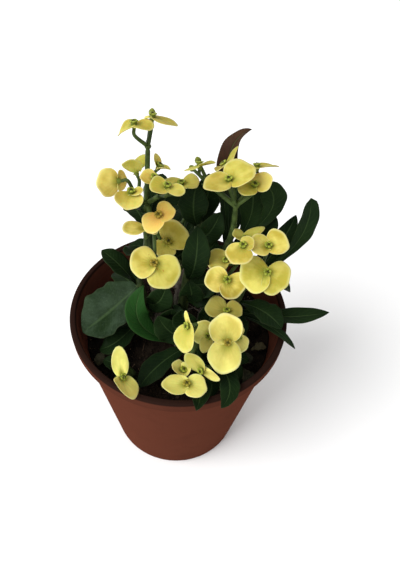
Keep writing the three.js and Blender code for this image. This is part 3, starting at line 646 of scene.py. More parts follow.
# %% A geometry tree with named inputs
class Recipe(Tree):
    """A geometry tree. Its inputs are named, and their kind follows from the value they start with."""

    KINDS = {float: "Float", int: "Int", bpy.types.Material: "Material"}

    def __init__(self, name, **inputs):
        group = bpy.data.node_groups.new(name, "GeometryNodeTree")
        super().__init__(group)
        group.interface.new_socket("Geometry", in_out="INPUT", socket_type="NodeSocketGeometry")
        group.interface.new_socket("Geometry", in_out="OUTPUT", socket_type="NodeSocketGeometry")
        for label, value in inputs.items():
            kind = "NodeSocket" + self.KINDS[type(value)]
            group.interface.new_socket(label, in_out="INPUT", socket_type=kind)
        self.inputs = inputs
        self.entry = group.nodes.new("NodeGroupInput")
        self.exit = group.nodes.new("NodeGroupOutput")

    def given(self, label):
        return Socket(self, self.entry.outputs[label])

    def attribute(self, name, kind="FLOAT"):
        return self.node("GeometryNodeInputNamedAttribute", {"data_type": kind}, {"Name": name})

    def join(self, *parts):
        joined = self.node("GeometryNodeJoinGeometry")
        for part in reversed(parts):
            self.nodes.links.new(part.output, joined.output.node.inputs[0])
        return joined

    def result(self, geometry):
        """Ends the tree with real faces, smooth, with their finish."""
        real = self.node("GeometryNodeRealizeInstances", values={"Geometry": geometry})
        smooth = self.node("GeometryNodeSetShadeSmooth", values={"Geometry": real})
        finish = {"Geometry": smooth, "Material": self.given("Finish")}
        finished = self.node("GeometryNodeSetMaterial", values=finish)
        self.nodes.links.new(finished.output, self.exit.inputs[0])

    def cook(self, name, mesh, **changed):
        """Runs the tree on a mesh and returns the result as an object with a plain mesh."""
        inputs = {**self.inputs, **changed}
        thing = bpy.data.objects.new(name, mesh)
        bpy.context.scene.collection.objects.link(thing)
        modifier = thing.modifiers.new(self.nodes.name, "NODES")
        modifier.node_group = self.nodes
        for item in self.nodes.interface.items_tree:
            if item.name in inputs:
                modifier[item.identifier] = inputs[item.name]
        graph = bpy.context.evaluated_depsgraph_get()
        cooked = bpy.data.meshes.new_from_object(thing.evaluated_get(graph), depsgraph=graph)
        thing.modifiers.remove(modifier)
        thing.data = cooked
        return thing


def marks(name, points, **values):
    """A mesh of loose points in millimetres, with the numbers and directions kept at each."""
    mesh = bpy.data.meshes.new(name)
    mesh.from_pydata((np.array(points) * MM).tolist(), [], [])
    for label, value in values.items():
        value = np.array(value, np.float32)
        kind, field = ("FLOAT", "value") if value.ndim == 1 else ("FLOAT_VECTOR", "vector")
        mesh.attributes.new(label, kind, "POINT").data.foreach_set(field, value.ravel())
    return mesh


# %% [markdown]
# ## The pot
# It is moulded from thin brown plastic: a wall that widens upwards, a thick rim, and under the floor a
# foot ring and a channel with six drain holes. A profile turned about the upright axis gives its shape.
# Every edge of a moulding is a little round, so the profile's corners are rounded first.

# %% The pot's profile, turned
def rounded(profile, radius, steps=4):
    """The profile with each corner turned into a short arc."""
    profile = np.array(profile, float)
    line = [profile[0]]
    for before, corner, after in zip(profile, profile[1:], profile[2:]):
        reach = [min(radius, 0.45 * np.linalg.norm(end - corner)) for end in (before, after)]
        start = corner + unit(before - corner) * reach[0]
        end = corner + unit(after - corner) * reach[1]
        for t in np.linspace(0, 1, steps + 1):
            line.append(lerp(lerp(start, corner, t), lerp(corner, end, t), t))
    return np.array([*line, profile[-1]])


def turned(profile, sides, inside_after=None):
    """A closed skin: the profile, from axis to axis, turned about Z. What comes after a height that the
    profile has passed on its way back down is marked as inside."""
    turns = np.linspace(0, 2 * math.pi, sides, endpoint=False)
    rings = profile[1:-1]
    points = [[r * math.cos(a), r * math.sin(a), z] for r, z in rings for a in turns]
    points += [[0, 0, profile[0][1]], [0, 0, profile[-1][1]]]
    faces = grid(len(rings) - 1, sides, sides, back=True)
    foot, top, last = len(points) - 2, len(points) - 1, (len(rings) - 1) * sides
    for j in range(sides):
        after = (j + 1) % sides
        faces += [[foot, after, j], [top, last + j, last + after]]
    within = np.zeros(len(rings))
    if inside_after:
        within[np.argmax(rings[:, 1]) + inside_after :] = 1
    return np.array(points), faces, {"inside": np.append(np.repeat(within, sides), [0, 1])}


INNER_FOOT = BASE_RADIUS - WALL
INNER_TOP = RIM_RADIUS - RIM_WIDTH - WALL
UNDER_RIM = POT_HEIGHT - RIM_HEIGHT


def inner_radius(z):
    return lerp(INNER_FOOT, INNER_TOP, (z - FLOOR_TOP) / (UNDER_RIM - FLOOR_TOP))


pot_profile = [
    (0, 0),
    (DRAIN_CIRCLE - 8, 0),
    (DRAIN_CIRCLE - 6, CHANNEL_HEIGHT),
    (DRAIN_CIRCLE + 6, CHANNEL_HEIGHT),
    (DRAIN_CIRCLE + 8, 0),
    (BASE_RADIUS - 0.8, 0),
    (BASE_RADIUS, 1),
    (INNER_TOP + WALL, UNDER_RIM),
    (RIM_RADIUS - 0.5, UNDER_RIM + 0.6),
    (RIM_RADIUS, POT_HEIGHT - 1.2),
    (RIM_RADIUS - 0.8, POT_HEIGHT),
    (RIM_RADIUS - RIM_WIDTH + 0.6, POT_HEIGHT),
    (INNER_TOP, UNDER_RIM),
    (inner_radius(FLOOR_TOP + 4), FLOOR_TOP + 4),
    (INNER_FOOT - 3, FLOOR_TOP),
    (0, FLOOR_TOP),
]

# %% [markdown]
# The plastic is satin, with the fine grain of its mould. Its brown varies a little where the sun has
# bleached it, and a noise adds soil grime. The rim's top is darkened, partly soil and partly painted
# shade, a thin band under the rim is a painted shadow, and the inside is darkened, partly a soil film and
# partly painted shade. Two noises, the height and the inside mark make those masks. The holes are cut by
# a tree that sets drills round a circle and takes them away.

# %% The finish of the pot
plastic = Finish("terracotta_plastic", Specular_IOR_Level=0.0)
height = plastic.height()
bleach = plastic.noise(14, 4).between(0.2, 0.85)
grime = plastic.noise(60, 5, 0.65).between(0.45, 0.75)
# Painted shadow and shade: a thin band just under the rim is a painted shadow, and the rim's top is
# darkened, partly soil and partly painted shade.
rim = height.between(0.1088, 0.1096) * 0.25 + height.between(0.1155, 0.1172) * 0.85
brown = plastic.mix(bleach, (0.098, 0.0305, 0.0180), (0.110, 0.0350, 0.0210))
brown = plastic.mix(rim + grime * 0.12, brown, (0.020, 0.0095, 0.0070))
# The inside is darkened, partly a film of soil and partly painted shade.
brown = plastic.mix(plastic.read("inside") * (0.82 + grime * 0.18), brown, (0.014, 0.0080, 0.0060))
grain = plastic.noise(2600, 1)
pot_finish = plastic.surface(brown, 0.42 + grime * 0.2, grain, 0.02)

# %% The drain holes
drill = Recipe("drain_holes", Holes=DRAIN_HOLES, Circle=DRAIN_CIRCLE * MM, Radius=DRAIN_RADIUS * MM)
circle = drill.node("GeometryNodeMeshCircle", values={0: drill.given("Holes"), 1: drill.given("Circle")})
bit = drill.node("GeometryNodeMeshCylinder", values={0: 32, 3: drill.given("Radius"), 4: 0.02})
bits = drill.node("GeometryNodeInstanceOnPoints", values={"Points": circle, "Instance": bit})
bits = drill.node("GeometryNodeRealizeInstances", values={"Geometry": bits})
drilled = drill.node("GeometryNodeMeshBoolean", {"operation": "DIFFERENCE"}, {0: drill.given("Geometry")})
drill.nodes.links.new(bits.output, drilled.output.node.inputs[1])
drill.nodes.links.new(drilled.output, drill.exit.inputs[0])

blank = Piece("pot_blank", pot_finish)
blank.add(turned(rounded(pot_profile, 0.8), 144, inside_after=12))
pot = drill.cook("pot_shell", blank.mesh())
pot.data.set_sharp_from_angle(angle=math.radians(50))
settle(pot, "terracotta_plastic", "pot")

# %% [markdown]
# ## The potting soil
# Potting mix is peat and bark, nearly black when moist, with paler chips. A low mound fills the pot to
# below its rim. Noise makes its clods, and crumbs, chips and fibres lie on it. The crumbs are a tree
# that picks one of three plain forms for each spot and turns it at random.

# %% The mound of soil
def soil_height(x, y):
    """The clods of the mound, with its small lumps."""
    inward = 1 - math.hypot(x, y) / INNER_TOP
    clods = math.sin(0.35 * x + 1.3) * math.cos(0.31 * y) + 0.6 * math.sin(0.23 * x - 0.4 * y)
    lumps = noise.fractal(Vector((0.22 * x, 0.22 * y, 3.0)), 0.8, 2.1, 4)
    return SOIL_EDGE_HEIGHT + SOIL_MOUND * inward + 0.8 * clods + 0.9 * lumps - 0.3


SOIL_RADIUS = inner_radius(SOIL_EDGE_HEIGHT) - 0.2
soil_profile = [
    (0, FLOOR_TOP + 0.3),
    (INNER_FOOT - 3.3, FLOOR_TOP + 0.3),
    (inner_radius(FLOOR_TOP + 4) - 0.4, FLOOR_TOP + 4.3),
    *[(SOIL_RADIUS * (1 - k / 48), SOIL_EDGE_HEIGHT) for k in range(48)],
    (0, SOIL_EDGE_HEIGHT),
]
mound, mound_faces, _ = turned(np.array(soil_profile), 160)
for point in mound:
    if point[2] > SOIL_EDGE_HEIGHT - 0.1:
        point[2] = soil_height(point[0], point[1])

# %% The finish of the soil and of what lies on it
earth = Finish("potting_soil", Specular_IOR_Level=0.05)
damp = earth.noise(90, 4, 0.6)
earth_lumps = earth.noise(700, 5, 0.7)
dark = earth.mix(damp.between(0.35, 0.65), (0.006, 0.0045, 0.0035), (0.022, 0.015, 0.010))
earth_finish = earth.surface(dark, 0.95, earth_lumps + damp, 0.9)

crumb = Finish("soil_crumbs", Specular_IOR_Level=0.08)
tone = crumb.read("tone")
crumb_colour = crumb.mix(tone.between(0.1, 0.8), (0.007, 0.005, 0.004), (0.032, 0.021, 0.014))
crumb_colour = crumb.mix(tone.between(0.9, 0.97), crumb_colour, (0.12, 0.08, 0.05))
crumb_finish = crumb.surface(crumb_colour, 0.9, crumb.noise(1500, 3), 0.2)

soil = Piece("soil_mound", earth_finish)
soil.add((mound, mound_faces, {}))
soil.make("soil", "soil")

# %% Crumbs, chips and fibres
scatter = Recipe("soil_scatter", Lump=0.6, Chip=0.75, Fibre=1.7, Seed=SEED, Finish=crumb_finish)
lump = scatter.node("GeometryNodeMeshIcoSphere", values={0: 1.0, 1: 1})
chip = scatter.node("GeometryNodeMeshCube", values={0: (1.0, 0.6, 0.25)})
fibre = scatter.node("GeometryNodeMeshCylinder", values={0: 5, 3: 0.04, 4: 1.0})
forms = []
kinds = [(lump, "Lump", (1, 0.8, 0.6)), (chip, "Chip", (2, 2, 2)), (fibre, "Fibre", (2, 2, 2))]
for form, label, shape in kinds:
    scale = scatter.node("ShaderNodeVectorMath", {"operation": "SCALE"}, {0: shape, 3: scatter.given(label)})
    sized = scatter.node("GeometryNodeTransform", values={"Geometry": form, "Scale": scale})
    forms.append(scatter.node("GeometryNodeGeometryToInstance", values={0: sized}))
which = {2: 0.0, 3: 2.999, "Seed": scatter.given("Seed")}
which = scatter.node("FunctionNodeRandomValue", values=which, output=1)
turn = scatter.node("FunctionNodeRandomValue", {"data_type": "FLOAT_VECTOR"}, {1: (6.28, 6.28, 6.28)})
placed = scatter.node(
    "GeometryNodeInstanceOnPoints",
    values={
        "Points": scatter.given("Geometry"),
        "Instance": scatter.join(*forms),
        "Pick Instance": True,
        "Instance Index": which.math("FLOOR", which),
        "Rotation": turn,
        "Scale": scatter.attribute("size"),
    },
)
scatter.result(placed)

CRUMBS = 4200
CRUMB_MARGIN = 0.8
dice = np.random.default_rng(SEED)
reach = (SOIL_RADIUS - CRUMB_MARGIN) * np.sqrt(dice.random(CRUMBS))
round_about = dice.random(CRUMBS) * 2 * math.pi
spots = np.stack([reach * np.cos(round_about), reach * np.sin(round_about)], axis=1)
spots = [[x, y, soil_height(x, y) + 0.1] for x, y in spots]
sizes = (0.35 + 1.2 * dice.random(CRUMBS) ** 3) * MM
crumbs = scatter.cook("soil_crumbs", marks("crumb_spots", spots, size=sizes, tone=dice.random(CRUMBS)))
settle(crumbs, "soil")

# %% [markdown]
# ## The woody stems
# Old wood is grey-brown, with fine cracks along it, and swells a little at each old leaf scar. Each
# stem is a straight foot in the soil and branches that start inside it. A pair of spines stands at each
# scar, and the scars turn round the branch by the golden angle. The spines are one tree, so that their
# length and thickness can be changed in one place.

# %% The finishes of wood and spines
bark = Finish("bark", Specular_IOR_Level=0.08)
cracks = bark.noise(300, 4, 0.6, bark.place(3.0, 3.0, 0.5))
lichen = bark.noise(120, 3)
wood_colour = bark.mix(cracks.between(0.35, 0.62), (0.045, 0.036, 0.028), (0.16, 0.135, 0.11))
wood_colour = bark.mix(lichen.between(0.55, 0.75) * 0.5, wood_colour, (0.12, 0.14, 0.09))
wood_colour = bark.mix(bark.read("along").between(0.75, 1.0) * 0.6, wood_colour, (0.06, 0.085, 0.03))
wood_finish = bark.surface(wood_colour, 0.85, cracks, 0.5)

thorn = Finish("spine", Specular_IOR_Level=0.4)
thorn_colour = thorn.mix(thorn.noise(200).between(0.4, 0.6), (0.075, 0.055, 0.042), (0.13, 0.105, 0.085))
spine_finish = thorn.surface(thorn_colour, 0.5, thorn.noise(900), 0.05)

# %% The wood and the places of its spines
def ends_of(shoot):
    """The foot and the top of a leafy shoot, and its direction."""
    foot, top = np.array(SHOOTS[shoot]["axis"], float)
    return foot, top, unit(top - foot)


def branch_line(root, to, over=None):
    foot, _, along = ends_of(to)
    middle = [over] if over else []
    return smooth_line([(*root, FORK_HEIGHT), *middle, foot - 6 * along, foot + along], 48)


def rotated(vector, axis, angle):
    turned_part = vector * math.cos(angle) + np.cross(axis, vector) * math.sin(angle)
    return turned_part + axis * (axis @ vector) * (1 - math.cos(angle))


def bark_swell(centres, sides, swells=()):
    """How much each ring of a stem stands out on each side."""
    rough = []
    for k, centre in enumerate(centres):
        ring = [noise.noise(Vector(centre * 0.12) + Vector((1.5 * math.cos(a), 1.5 * math.sin(a), 0)))
                for a in np.linspace(0, 2 * math.pi, sides, endpoint=False)]
        swell = sum(math.exp(-((k - at) / 1.6) ** 2) for at in swells)
        rough.append(1 + 0.09 * np.array(ring) + 0.07 * swell)
    return rough


spine_feet, spine_aims = [], []
for name, stem in STEMS.items():
    piece = Piece(name + "_wood", wood_finish)
    foot = smooth_line([(*stem["root"], ROOT_DEPTH), (*stem["root"], FORK_HEIGHT + 3)], 24)
    widths = ROOT_RADIUS * np.append(np.linspace(1.05, 1, 23), [0.9, 0.5])
    piece.add(bar(foot, widths, 20, bark_swell(foot, 20)), along=0)
    scar = 0
    for branch in stem["branches"]:
        centres = branch_line(stem["root"], branch["to"], branch.get("over"))
        directions = unit(np.gradient(centres, axis=0))
        widths = np.linspace(*branch["radius"], 49) - 0.5 * np.linspace(0, 1, 49) ** 6
        length = np.linalg.norm(np.diff(centres, axis=0), axis=1).sum()
        count = int(length // NODE_STEP)
        scars = [48 * (k - 0.4) / count for k in range(1, count + 1)]
        piece.add(bar(centres, widths, 20, bark_swell(centres, 20, scars)))
        for at in scars:
            centre, along = centres[round(at)], directions[round(at)]
            scar += 1
            for spread in (-0.5, 0.5):
                level = unit(np.array([1.0, 0, 0]) - along * along[0])
                out = rotated(level, along, scar * GOLDEN_ANGLE + spread)
                spine_feet.append(centre + out * (branch["radius"][1] - 1.0))
                spine_aims.append(unit(out + 0.25 * along))
    piece.make("wood", name)

# %% The spines
spiny = Recipe("spines", Length=SPINE_LENGTH * MM, Base=SPINE_RADIUS * MM, Finish=spine_finish)
cone = {0: 8, 1: 6, 3: 0.00006, 4: spiny.given("Base"), 5: spiny.given("Length")}
cone = spiny.node("GeometryNodeMeshCone", values=cone)
shield = spiny.node("GeometryNodeMeshUVSphere", values={0: 10, 1: 6, 2: spiny.given("Base") * 1.35})
spine_form = spiny.join(cone, shield)
aim = spiny.attribute("aim", "FLOAT_VECTOR")
aim = spiny.node("FunctionNodeAlignRotationToVector", {"axis": "Z"}, {2: aim})
values = {"Points": spiny.given("Geometry"), "Instance": spine_form, "Rotation": aim}
spiny.result(spiny.node("GeometryNodeInstanceOnPoints", values=values))
spines = spiny.cook("spines", marks("spine_feet", spine_feet, aim=spine_aims))
settle(spines, "wood")

# %% [markdown]
# ## The leaves
# A leaf is a long oval blade, dark and waxy above and paler below, folded a little along a pale midrib,
# with a wavy edge. It is a grid that follows a curve from foot to tip. The veins are colour and relief
# in its finish, which reads how far along and how far across the blade a point lies. Some leaves differ:
# one is grey with dust, one is fresh green, and the highest tip is reddish.

# %% The finish of the leaves
green = Finish("leaf_green", Specular_IOR_Level=0.03)
along, across = green.read("along"), green.read("across")
side = across.size()
patches = green.noise(70, 4, 0.6).between(0.3, 0.7)
shade = green.read("shade")
blade_green = green.mix(patches * 0.6 + shade * 0.4, (0.0045, 0.0110, 0.0040), (0.0115, 0.0260, 0.0070))
blade_green = green.mix(green.read("fresh"), blade_green, (0.014, 0.052, 0.010))
reddish = green.mix(patches, (0.032, 0.014, 0.009), (0.055, 0.028, 0.015))
blade_green = green.mix(green.read("red") * along.between(0.2, 0.6), blade_green, reddish)
blade_green = green.mix(green.read("under") * 0.6, blade_green, (0.026, 0.050, 0.022))
midrib = 1 - side.between(0.015, 0.09)
vein = ((along * 12 - side * 2.2) * math.tau).sine().between(0.9, 1.0) * (1 - side.between(0.7, 1.0))
pale = (midrib * 0.42 + vein * 0.12) * (1 - along.between(0.8, 1.0) * 0.6)
blade_green = green.mix(pale, blade_green, (0.055, 0.095, 0.032))
# A thin paler band along the leaf's edge is a painted highlight.
blade_green = green.mix(side.between(0.93, 1.0) * 0.3, blade_green, (0.055, 0.07, 0.028))
specks = green.noise(900, 3, 0.7).between(0.55, 0.7)
dust = green.read("dust") * (green.noise(60, 5, 0.7).between(0.3, 0.7) * 0.55 + specks * 0.35)
blade_green = green.mix(dust, blade_green, (0.050, 0.080, 0.047))
relief = vein * -0.35 + midrib * -0.8 + green.noise(500, 3) * 0.35
leaf_finish = green.surface(blade_green, 0.34 + dust * 0.4 + green.noise(150) * 0.12, relief, 0.35)

skin = Finish("shoot_green", Specular_IOR_Level=0.1)
skin_grain = skin.noise(220, 4, 0.6, skin.place(2.0, 2.0, 0.6))
skin_colour = skin.mix(skin_grain.between(0.35, 0.65), (0.020, 0.032, 0.011), (0.048, 0.068, 0.022))
shoot_finish = skin.surface(skin_colour, 0.5, skin_grain, 0.2)

# %% One leaf
LEAF_ROWS = 30
LEAF_COLUMNS = 12
LEAF_THICKNESS = 0.5
LOOKS = {"green": {}, "dusty": {"dust": 1.0}, "fresh": {"fresh": 1.0}, "red": {"red": 1.0}}


def leaf_outline(share, blunt, broad):
    """A narrow foot, and widest beyond the middle. A blunt leaf is widest near its round end, and a
    broad one is an even oval."""
    late, round_off = (2.8, 0.65) if blunt else (1.15, 0.65) if broad else (1.45, 0.8)
    bulge = np.maximum(0, np.sin(math.pi * share**late)) ** round_off
    if blunt:
        end = np.clip((share - 0.8) / 0.2, 0, 1)
        return np.maximum(0.015, np.where(end > 0, 0.98, 0.1 + 0.9 * bulge) * np.sqrt(1 - end**2))
    point = np.clip((share - 0.8) / 0.2, 0, 1) ** 2
    return 0.1 + 0.9 * bulge - 0.085 * point


def leaf_skin(foot, tip, wide, over=None, arch=0, face=(0, 0, 1), blunt=False, broad=False, wave=1.0):
    """The closed skin of one leaf, whose edge waves by chance."""
    foot, tip = np.array(foot, float), np.array(tip, float)
    chord = unit(tip - foot)
    lift = unit(np.array([0, 0, 1.0]) - chord[2] * chord)
    centre = (foot + tip) / 2
    bend = 2 * np.array(over) - centre if over else centre + 2 * arch * lift
    share = np.linspace(0, 1, LEAF_ROWS + 1)[:, None]
    middle = (1 - share) ** 2 * foot + 2 * share * (1 - share) * bend + share**2 * tip
    tangent = unit((1 - share) * (bend - foot) + share * (tip - bend))
    sideways = unit(np.cross(np.array(face, float), tangent))[:, None, :]
    up = unit(np.cross(tangent, sideways[:, 0, :]))[:, None, :]
    s = np.linspace(-1, 1, LEAF_COLUMNS + 1)[None, :]
    phase, beats, height = dice.random(), 1.6 + 1.4 * dice.random(), wave * (0.5 + 0.6 * dice.random())
    edge = 1 + 0.035 * np.sin(math.tau * (2.3 * beats * share + phase) + np.sign(s))
    half = wide / 2 * leaf_outline(share, blunt, broad) * edge
    fold = 0.25 * half * (np.sqrt(s**2 + 0.01) - 0.1)
    ripple = np.sin(math.tau * (beats * share + phase) + 1.3 * np.sign(s))
    rise = fold + height * wide / 14 * ripple * s**2 * np.sin(math.pi * share) ** 0.7
    rise = rise + 0.10 * np.cos(math.tau * (12 * share - 2.2 * np.abs(s))) * (1 - s**2) * np.abs(s)
    thick = LEAF_THICKNESS * (1 - 0.6 * s**2) * np.ones_like(share)
    rib = 0.55 * np.exp(-((s / 0.13) ** 2)) * (1 - 0.8 * share)
    surface = middle[:, None, :] + sideways * (s * half)[..., None]
    upper = surface + up * (rise + thick / 2 - 0.3 * rib)[..., None]
    lower = surface + up * (rise - thick / 2 - rib)[..., None]
    values = {"along": share * np.ones_like(s), "across": s * np.ones_like(share)}
    return blade(upper, lower, values)


# %% The leafy shoots
for name, shoot in SHOOTS.items():
    piece = Piece(name + "_leaves", leaf_finish, shoot_finish)
    foot, top, along_shoot = ends_of(name)
    centres = smooth_line([foot - 1.5 * along_shoot, top + 1.2 * along_shoot], 24)
    widths = np.linspace(SHOOT_RADIUS, SHOOT_TOP_RADIUS, 25)
    widths[-3:] *= (0.95, 0.8, 0.45)
    scars = [24 * leaf["at"] for leaf in shoot["leaves"]]
    piece.add(bar(centres, widths, 16, bark_swell(centres, 16, scars)), finish=1)
    for leaf in shoot["leaves"]:
        start = lerp(foot, top, leaf["at"])
        outward = np.array(leaf.get("over", leaf["tip"])) - start
        outward = unit(outward * (1, 1, 0)) * LEAF_OFFSET
        shape = {key: value for key, value in leaf.items() if key not in ("at", "look")}
        look = LOOKS[leaf.get("look", "green")]
        piece.add(leaf_skin(start + outward, **shape), shade=dice.random(), **look)
    piece.make("leaf", name)

# %% [markdown]
# A few old leaves have dropped and lie dry on the soil, with a bit of dead stalk. They are leaves like
# the others, small and curled, in a finish of their own.

# %% Fallen leaves
dry = Finish("dry_leaf", Specular_IOR_Level=0.05)
dry_grain = dry.noise(220, 4, 0.6)
dry_colour = dry.mix(dry_grain.between(0.35, 0.65), (0.018, 0.021, 0.013), (0.042, 0.044, 0.028))
straw = dry.mix(dry_grain.between(0.3, 0.7), (0.045, 0.036, 0.017), (0.11, 0.095, 0.05))
dry_colour = dry.mix(dry.read("straw"), dry_colour, straw)
dry_rib = 1 - dry.read("across").size().between(0.02, 0.12)
dry_colour = dry.mix(dry_rib * 0.4, dry_colour, (0.07, 0.07, 0.045))
dry_finish = dry.surface(dry_colour, 0.8, dry_grain - dry_rib * 0.5, 0.3)

FALLEN = [
    dict(foot=[45.1, -13.6, 99.8], tip=[54.2, -11.2, 101], wide=5.5, arch=2, straw=1.0),
    dict(foot=[35.5, -25.8, 100], tip=[45.9, -20.5, 103], wide=7.5, arch=1.5, straw=0.1),
    dict(foot=[35.3, -28.6, 100], tip=[44.9, -35.7, 101.5], wide=7, arch=1.5, straw=0.35),
    dict(foot=[39.5, -39.0, 101], tip=[46.5, -31.0, 102], wide=5, arch=1, straw=0.1),
    dict(foot=[-43.5, -23.1, 101], tip=[-44.9, -33.1, 101], wide=6, arch=1.5, straw=0.3),
    dict(foot=[-34.0, 18.0, 100], tip=[-42.0, 25.0, 101], wide=6, arch=1.5, straw=0.6),
    dict(foot=[20.0, 40.0, 100], tip=[30.0, 36.0, 101], wide=7, arch=2, straw=0.8),
]
litter = Piece("fallen_leaves", dry_finish)
for leaf in FALLEN:
    shape = {key: value for key, value in leaf.items() if key != "straw"}
    litter.add(leaf_skin(**shape, wave=2.5), straw=leaf["straw"])
twig = smooth_line([(-9.9, 5.5, 104), (-7.2, 1.5, 104), (-7.0, -2.0, 102), (-8.6, -5.5, 98)], 24)
litter.add(bar(twig, np.linspace(0.5, 0.25, 25), 8), straw=0.9)
litter.make("leaf")

# %% [markdown]
# ## The flower stalks
# From the tip of a shoot rises a smooth green stalk that forks, with a pair of tiny scales at each fork.
# Each thin end widens into the cup of a bloom. Round the mouth of the cup stand five glands, and the
# stamens stand in it. Glands and stamens are one tree of small rounded parts, used twice.

# %% The finishes of stalks, cups, glands and stamens
stem_skin = Finish("stalk_green", Specular_IOR_Level=0.1)
stalk_grain = stem_skin.noise(160, 3)
stalk_colour = stem_skin.mix(stalk_grain.between(0.35, 0.65), (0.030, 0.050, 0.013), (0.065, 0.10, 0.026))
stalk_finish = stem_skin.surface(stalk_colour, 0.42, stem_skin.noise(800), 0.06)

cup_skin = Finish("cup_olive", Specular_IOR_Level=0.12)
upper_part = cup_skin.read("along").between(0.3, 1.0)
cup_colour = cup_skin.mix(upper_part, (0.11, 0.14, 0.020), (0.22, 0.24, 0.028))
cup_colour = cup_skin.mix(cup_skin.read("ripe"), cup_colour, (0.19, 0.14, 0.02))
cup_finish = cup_skin.surface(cup_colour, 0.4, cup_skin.noise(1200), 0.05)

gland = Finish("gland_green", Specular_IOR_Level=0.15)
gland_colour = gland.mix(gland.noise(900).between(0.4, 0.6), (0.19, 0.23, 0.022), (0.33, 0.37, 0.045))
gland_colour = gland.mix(gland.read("ripe"), gland_colour, (0.26, 0.19, 0.022))
gland_finish = gland.surface(gland_colour, 0.25, gland.noise(2000), 0.03)

pollen = Finish("stamen_ochre", Specular_IOR_Level=0.15)
pollen_colour = pollen.mix(pollen.noise(900).between(0.4, 0.6), (0.030, 0.034, 0.006), (0.085, 0.080, 0.012))
pollen_finish = pollen.surface(pollen_colour, 0.6, pollen.noise(3000), 0.05)

# %% The way a bloom faces
def facing(turn, lean):
    """A direction given as the light sees it, in the frame of the pot."""
    a, b = math.radians(turn), math.radians(lean)
    upward, forward = math.cos(b) * math.sin(a), math.sin(b)
    high = math.sin(LIGHT_HEIGHT), math.cos(LIGHT_HEIGHT)
    y = upward * high[0] - forward * high[1]
    return np.array([math.cos(b) * math.cos(a), y, upward * high[1] + forward * high[0]])


def square_to(axis):
    """Two directions square to an axis and to each other."""
    other = np.array([0, 0, 1.0]) if abs(axis[2]) < 0.9 else np.array([1.0, 0, 0])
    first = unit(np.cross(other, axis))
    return first, np.cross(axis, first)


# %% Stalks, cups and buds
RIPE = {
    "bloom_middle_1": 1.0,
    "bloom_middle_3": 0.7,
    "bloom_middle_4": 1.0,
    "bloom_front_4": 0.9,
    "bloom_low_1": 0.7,
}
gland_spots, gland_aims, gland_outs, gland_ripe = [], [], [], []
stamen_spots, stamen_aims, stamen_outs = [], [], []
for name, stalk in STALKS.items():
    piece = Piece(name + "_stem", stalk_finish, cup_finish)
    _, top, along_shoot = ends_of(stalk["on"])
    forks = {"low": top + stalk["rise"] * along_shoot}
    starts = {"low": top}
    line = smooth_line([top - 1.5 * along_shoot, forks["low"]], 6)
    piece.add(bar(line, np.linspace(STALK_RADIUS + 0.4, STALK_RADIUS, 7), 14))
    for fork, (origin, place) in stalk["forks"].items():
        forks[fork] = np.array(place, float)
        starts[fork] = forks[origin]
        line = smooth_line([forks[origin], forks[fork]], 12)
        widths = np.linspace(STALK_RADIUS, STALK_RADIUS - 0.25, 13)
        widths[[0, -1]] *= 0.6
        piece.add(bar(line, widths, 14))
    for fork, place in forks.items():
        knot = smooth_line([place - (0, 0, 1.6), place + (0, 0, 1.6)], 8)
        piece.add(bar(knot, 1.75 * np.sin(np.linspace(0.35, math.pi - 0.35, 9)), 14))
        rising = unit(place - starts[fork])
        for sideways in square_to(rising)[:1]:
            for turn in (-1, 1):
                tip = place + turn * 3.4 * sideways + 2.2 * rising
                piece.add(leaf_skin(place + turn * 0.8 * sideways, tip, 2.6, arch=-0.5, wave=0.2), finish=0)
    for fork, place in stalk["buds"]:
        line = smooth_line([forks[fork], place], 10)
        piece.add(bar(line, np.linspace(TWIG_RADIUS, 0.8, 11), 12))
        axis = unit(np.array(place) - forks[fork])
        bud = smooth_line([place - 1.9 * axis, place + 2.2 * axis], 14)
        swelling = np.sin(np.linspace(0.25, math.pi - 0.05, 15)) ** 0.7 * BUD_RADIUS
        ribs = [1 + 0.08 * np.cos(5 * np.linspace(0, math.tau, 20, endpoint=False))] * 15
        piece.add(bar(bud, swelling, 20, ribs), finish=1)
    for bloom, (fork, at, axis, *_) in stalk["blooms"].items():
        upright, centre = facing(*axis), np.array(at, float)
        ripe = RIPE.get(bloom, 0.0)
        below = centre - CUP_DEPTH * upright
        bend = below - upright * min(3.2, 0.26 * np.linalg.norm(forks[fork] - below))
        line = smooth_line([forks[fork], bend, below + 0.6 * upright], 16)
        piece.add(bar(line, np.linspace(TWIG_RADIUS, 0.85, 17), 12))
        heights = np.array([-2.4, -1.9, -1.2, -0.3, 0.6, 1.4, 2.0, 2.1, 1.9, 1.2, 0.9])
        widths = [0.5, 0.9, 1.2, 1.42, 1.5, 1.58, 1.62, 1.5, 1.35, 1.2, 0.4]
        piece.add(bar(centre + heights[:, None] * upright, widths, 18), finish=1, ripe=ripe)
        first, second = square_to(upright)
        for k in range(5):
            a = k * math.tau / 5 + 0.3
            out = math.cos(a) * first + math.sin(a) * second
            gland_spots.append(centre + 2.0 * upright + 1.55 * out)
            gland_aims.append(upright)
            gland_outs.append(out)
            gland_ripe.append(ripe)
        for k in range(6):
            a = k * GOLDEN_ANGLE
            out = math.cos(a) * first + math.sin(a) * second
            stamen_spots.append(centre + (1.9 + 0.5 * dice.random()) * upright + 0.32 * math.sqrt(k) * out)
            stamen_aims.append(upright)
            stamen_outs.append(out)
    piece.make("stalk", name)

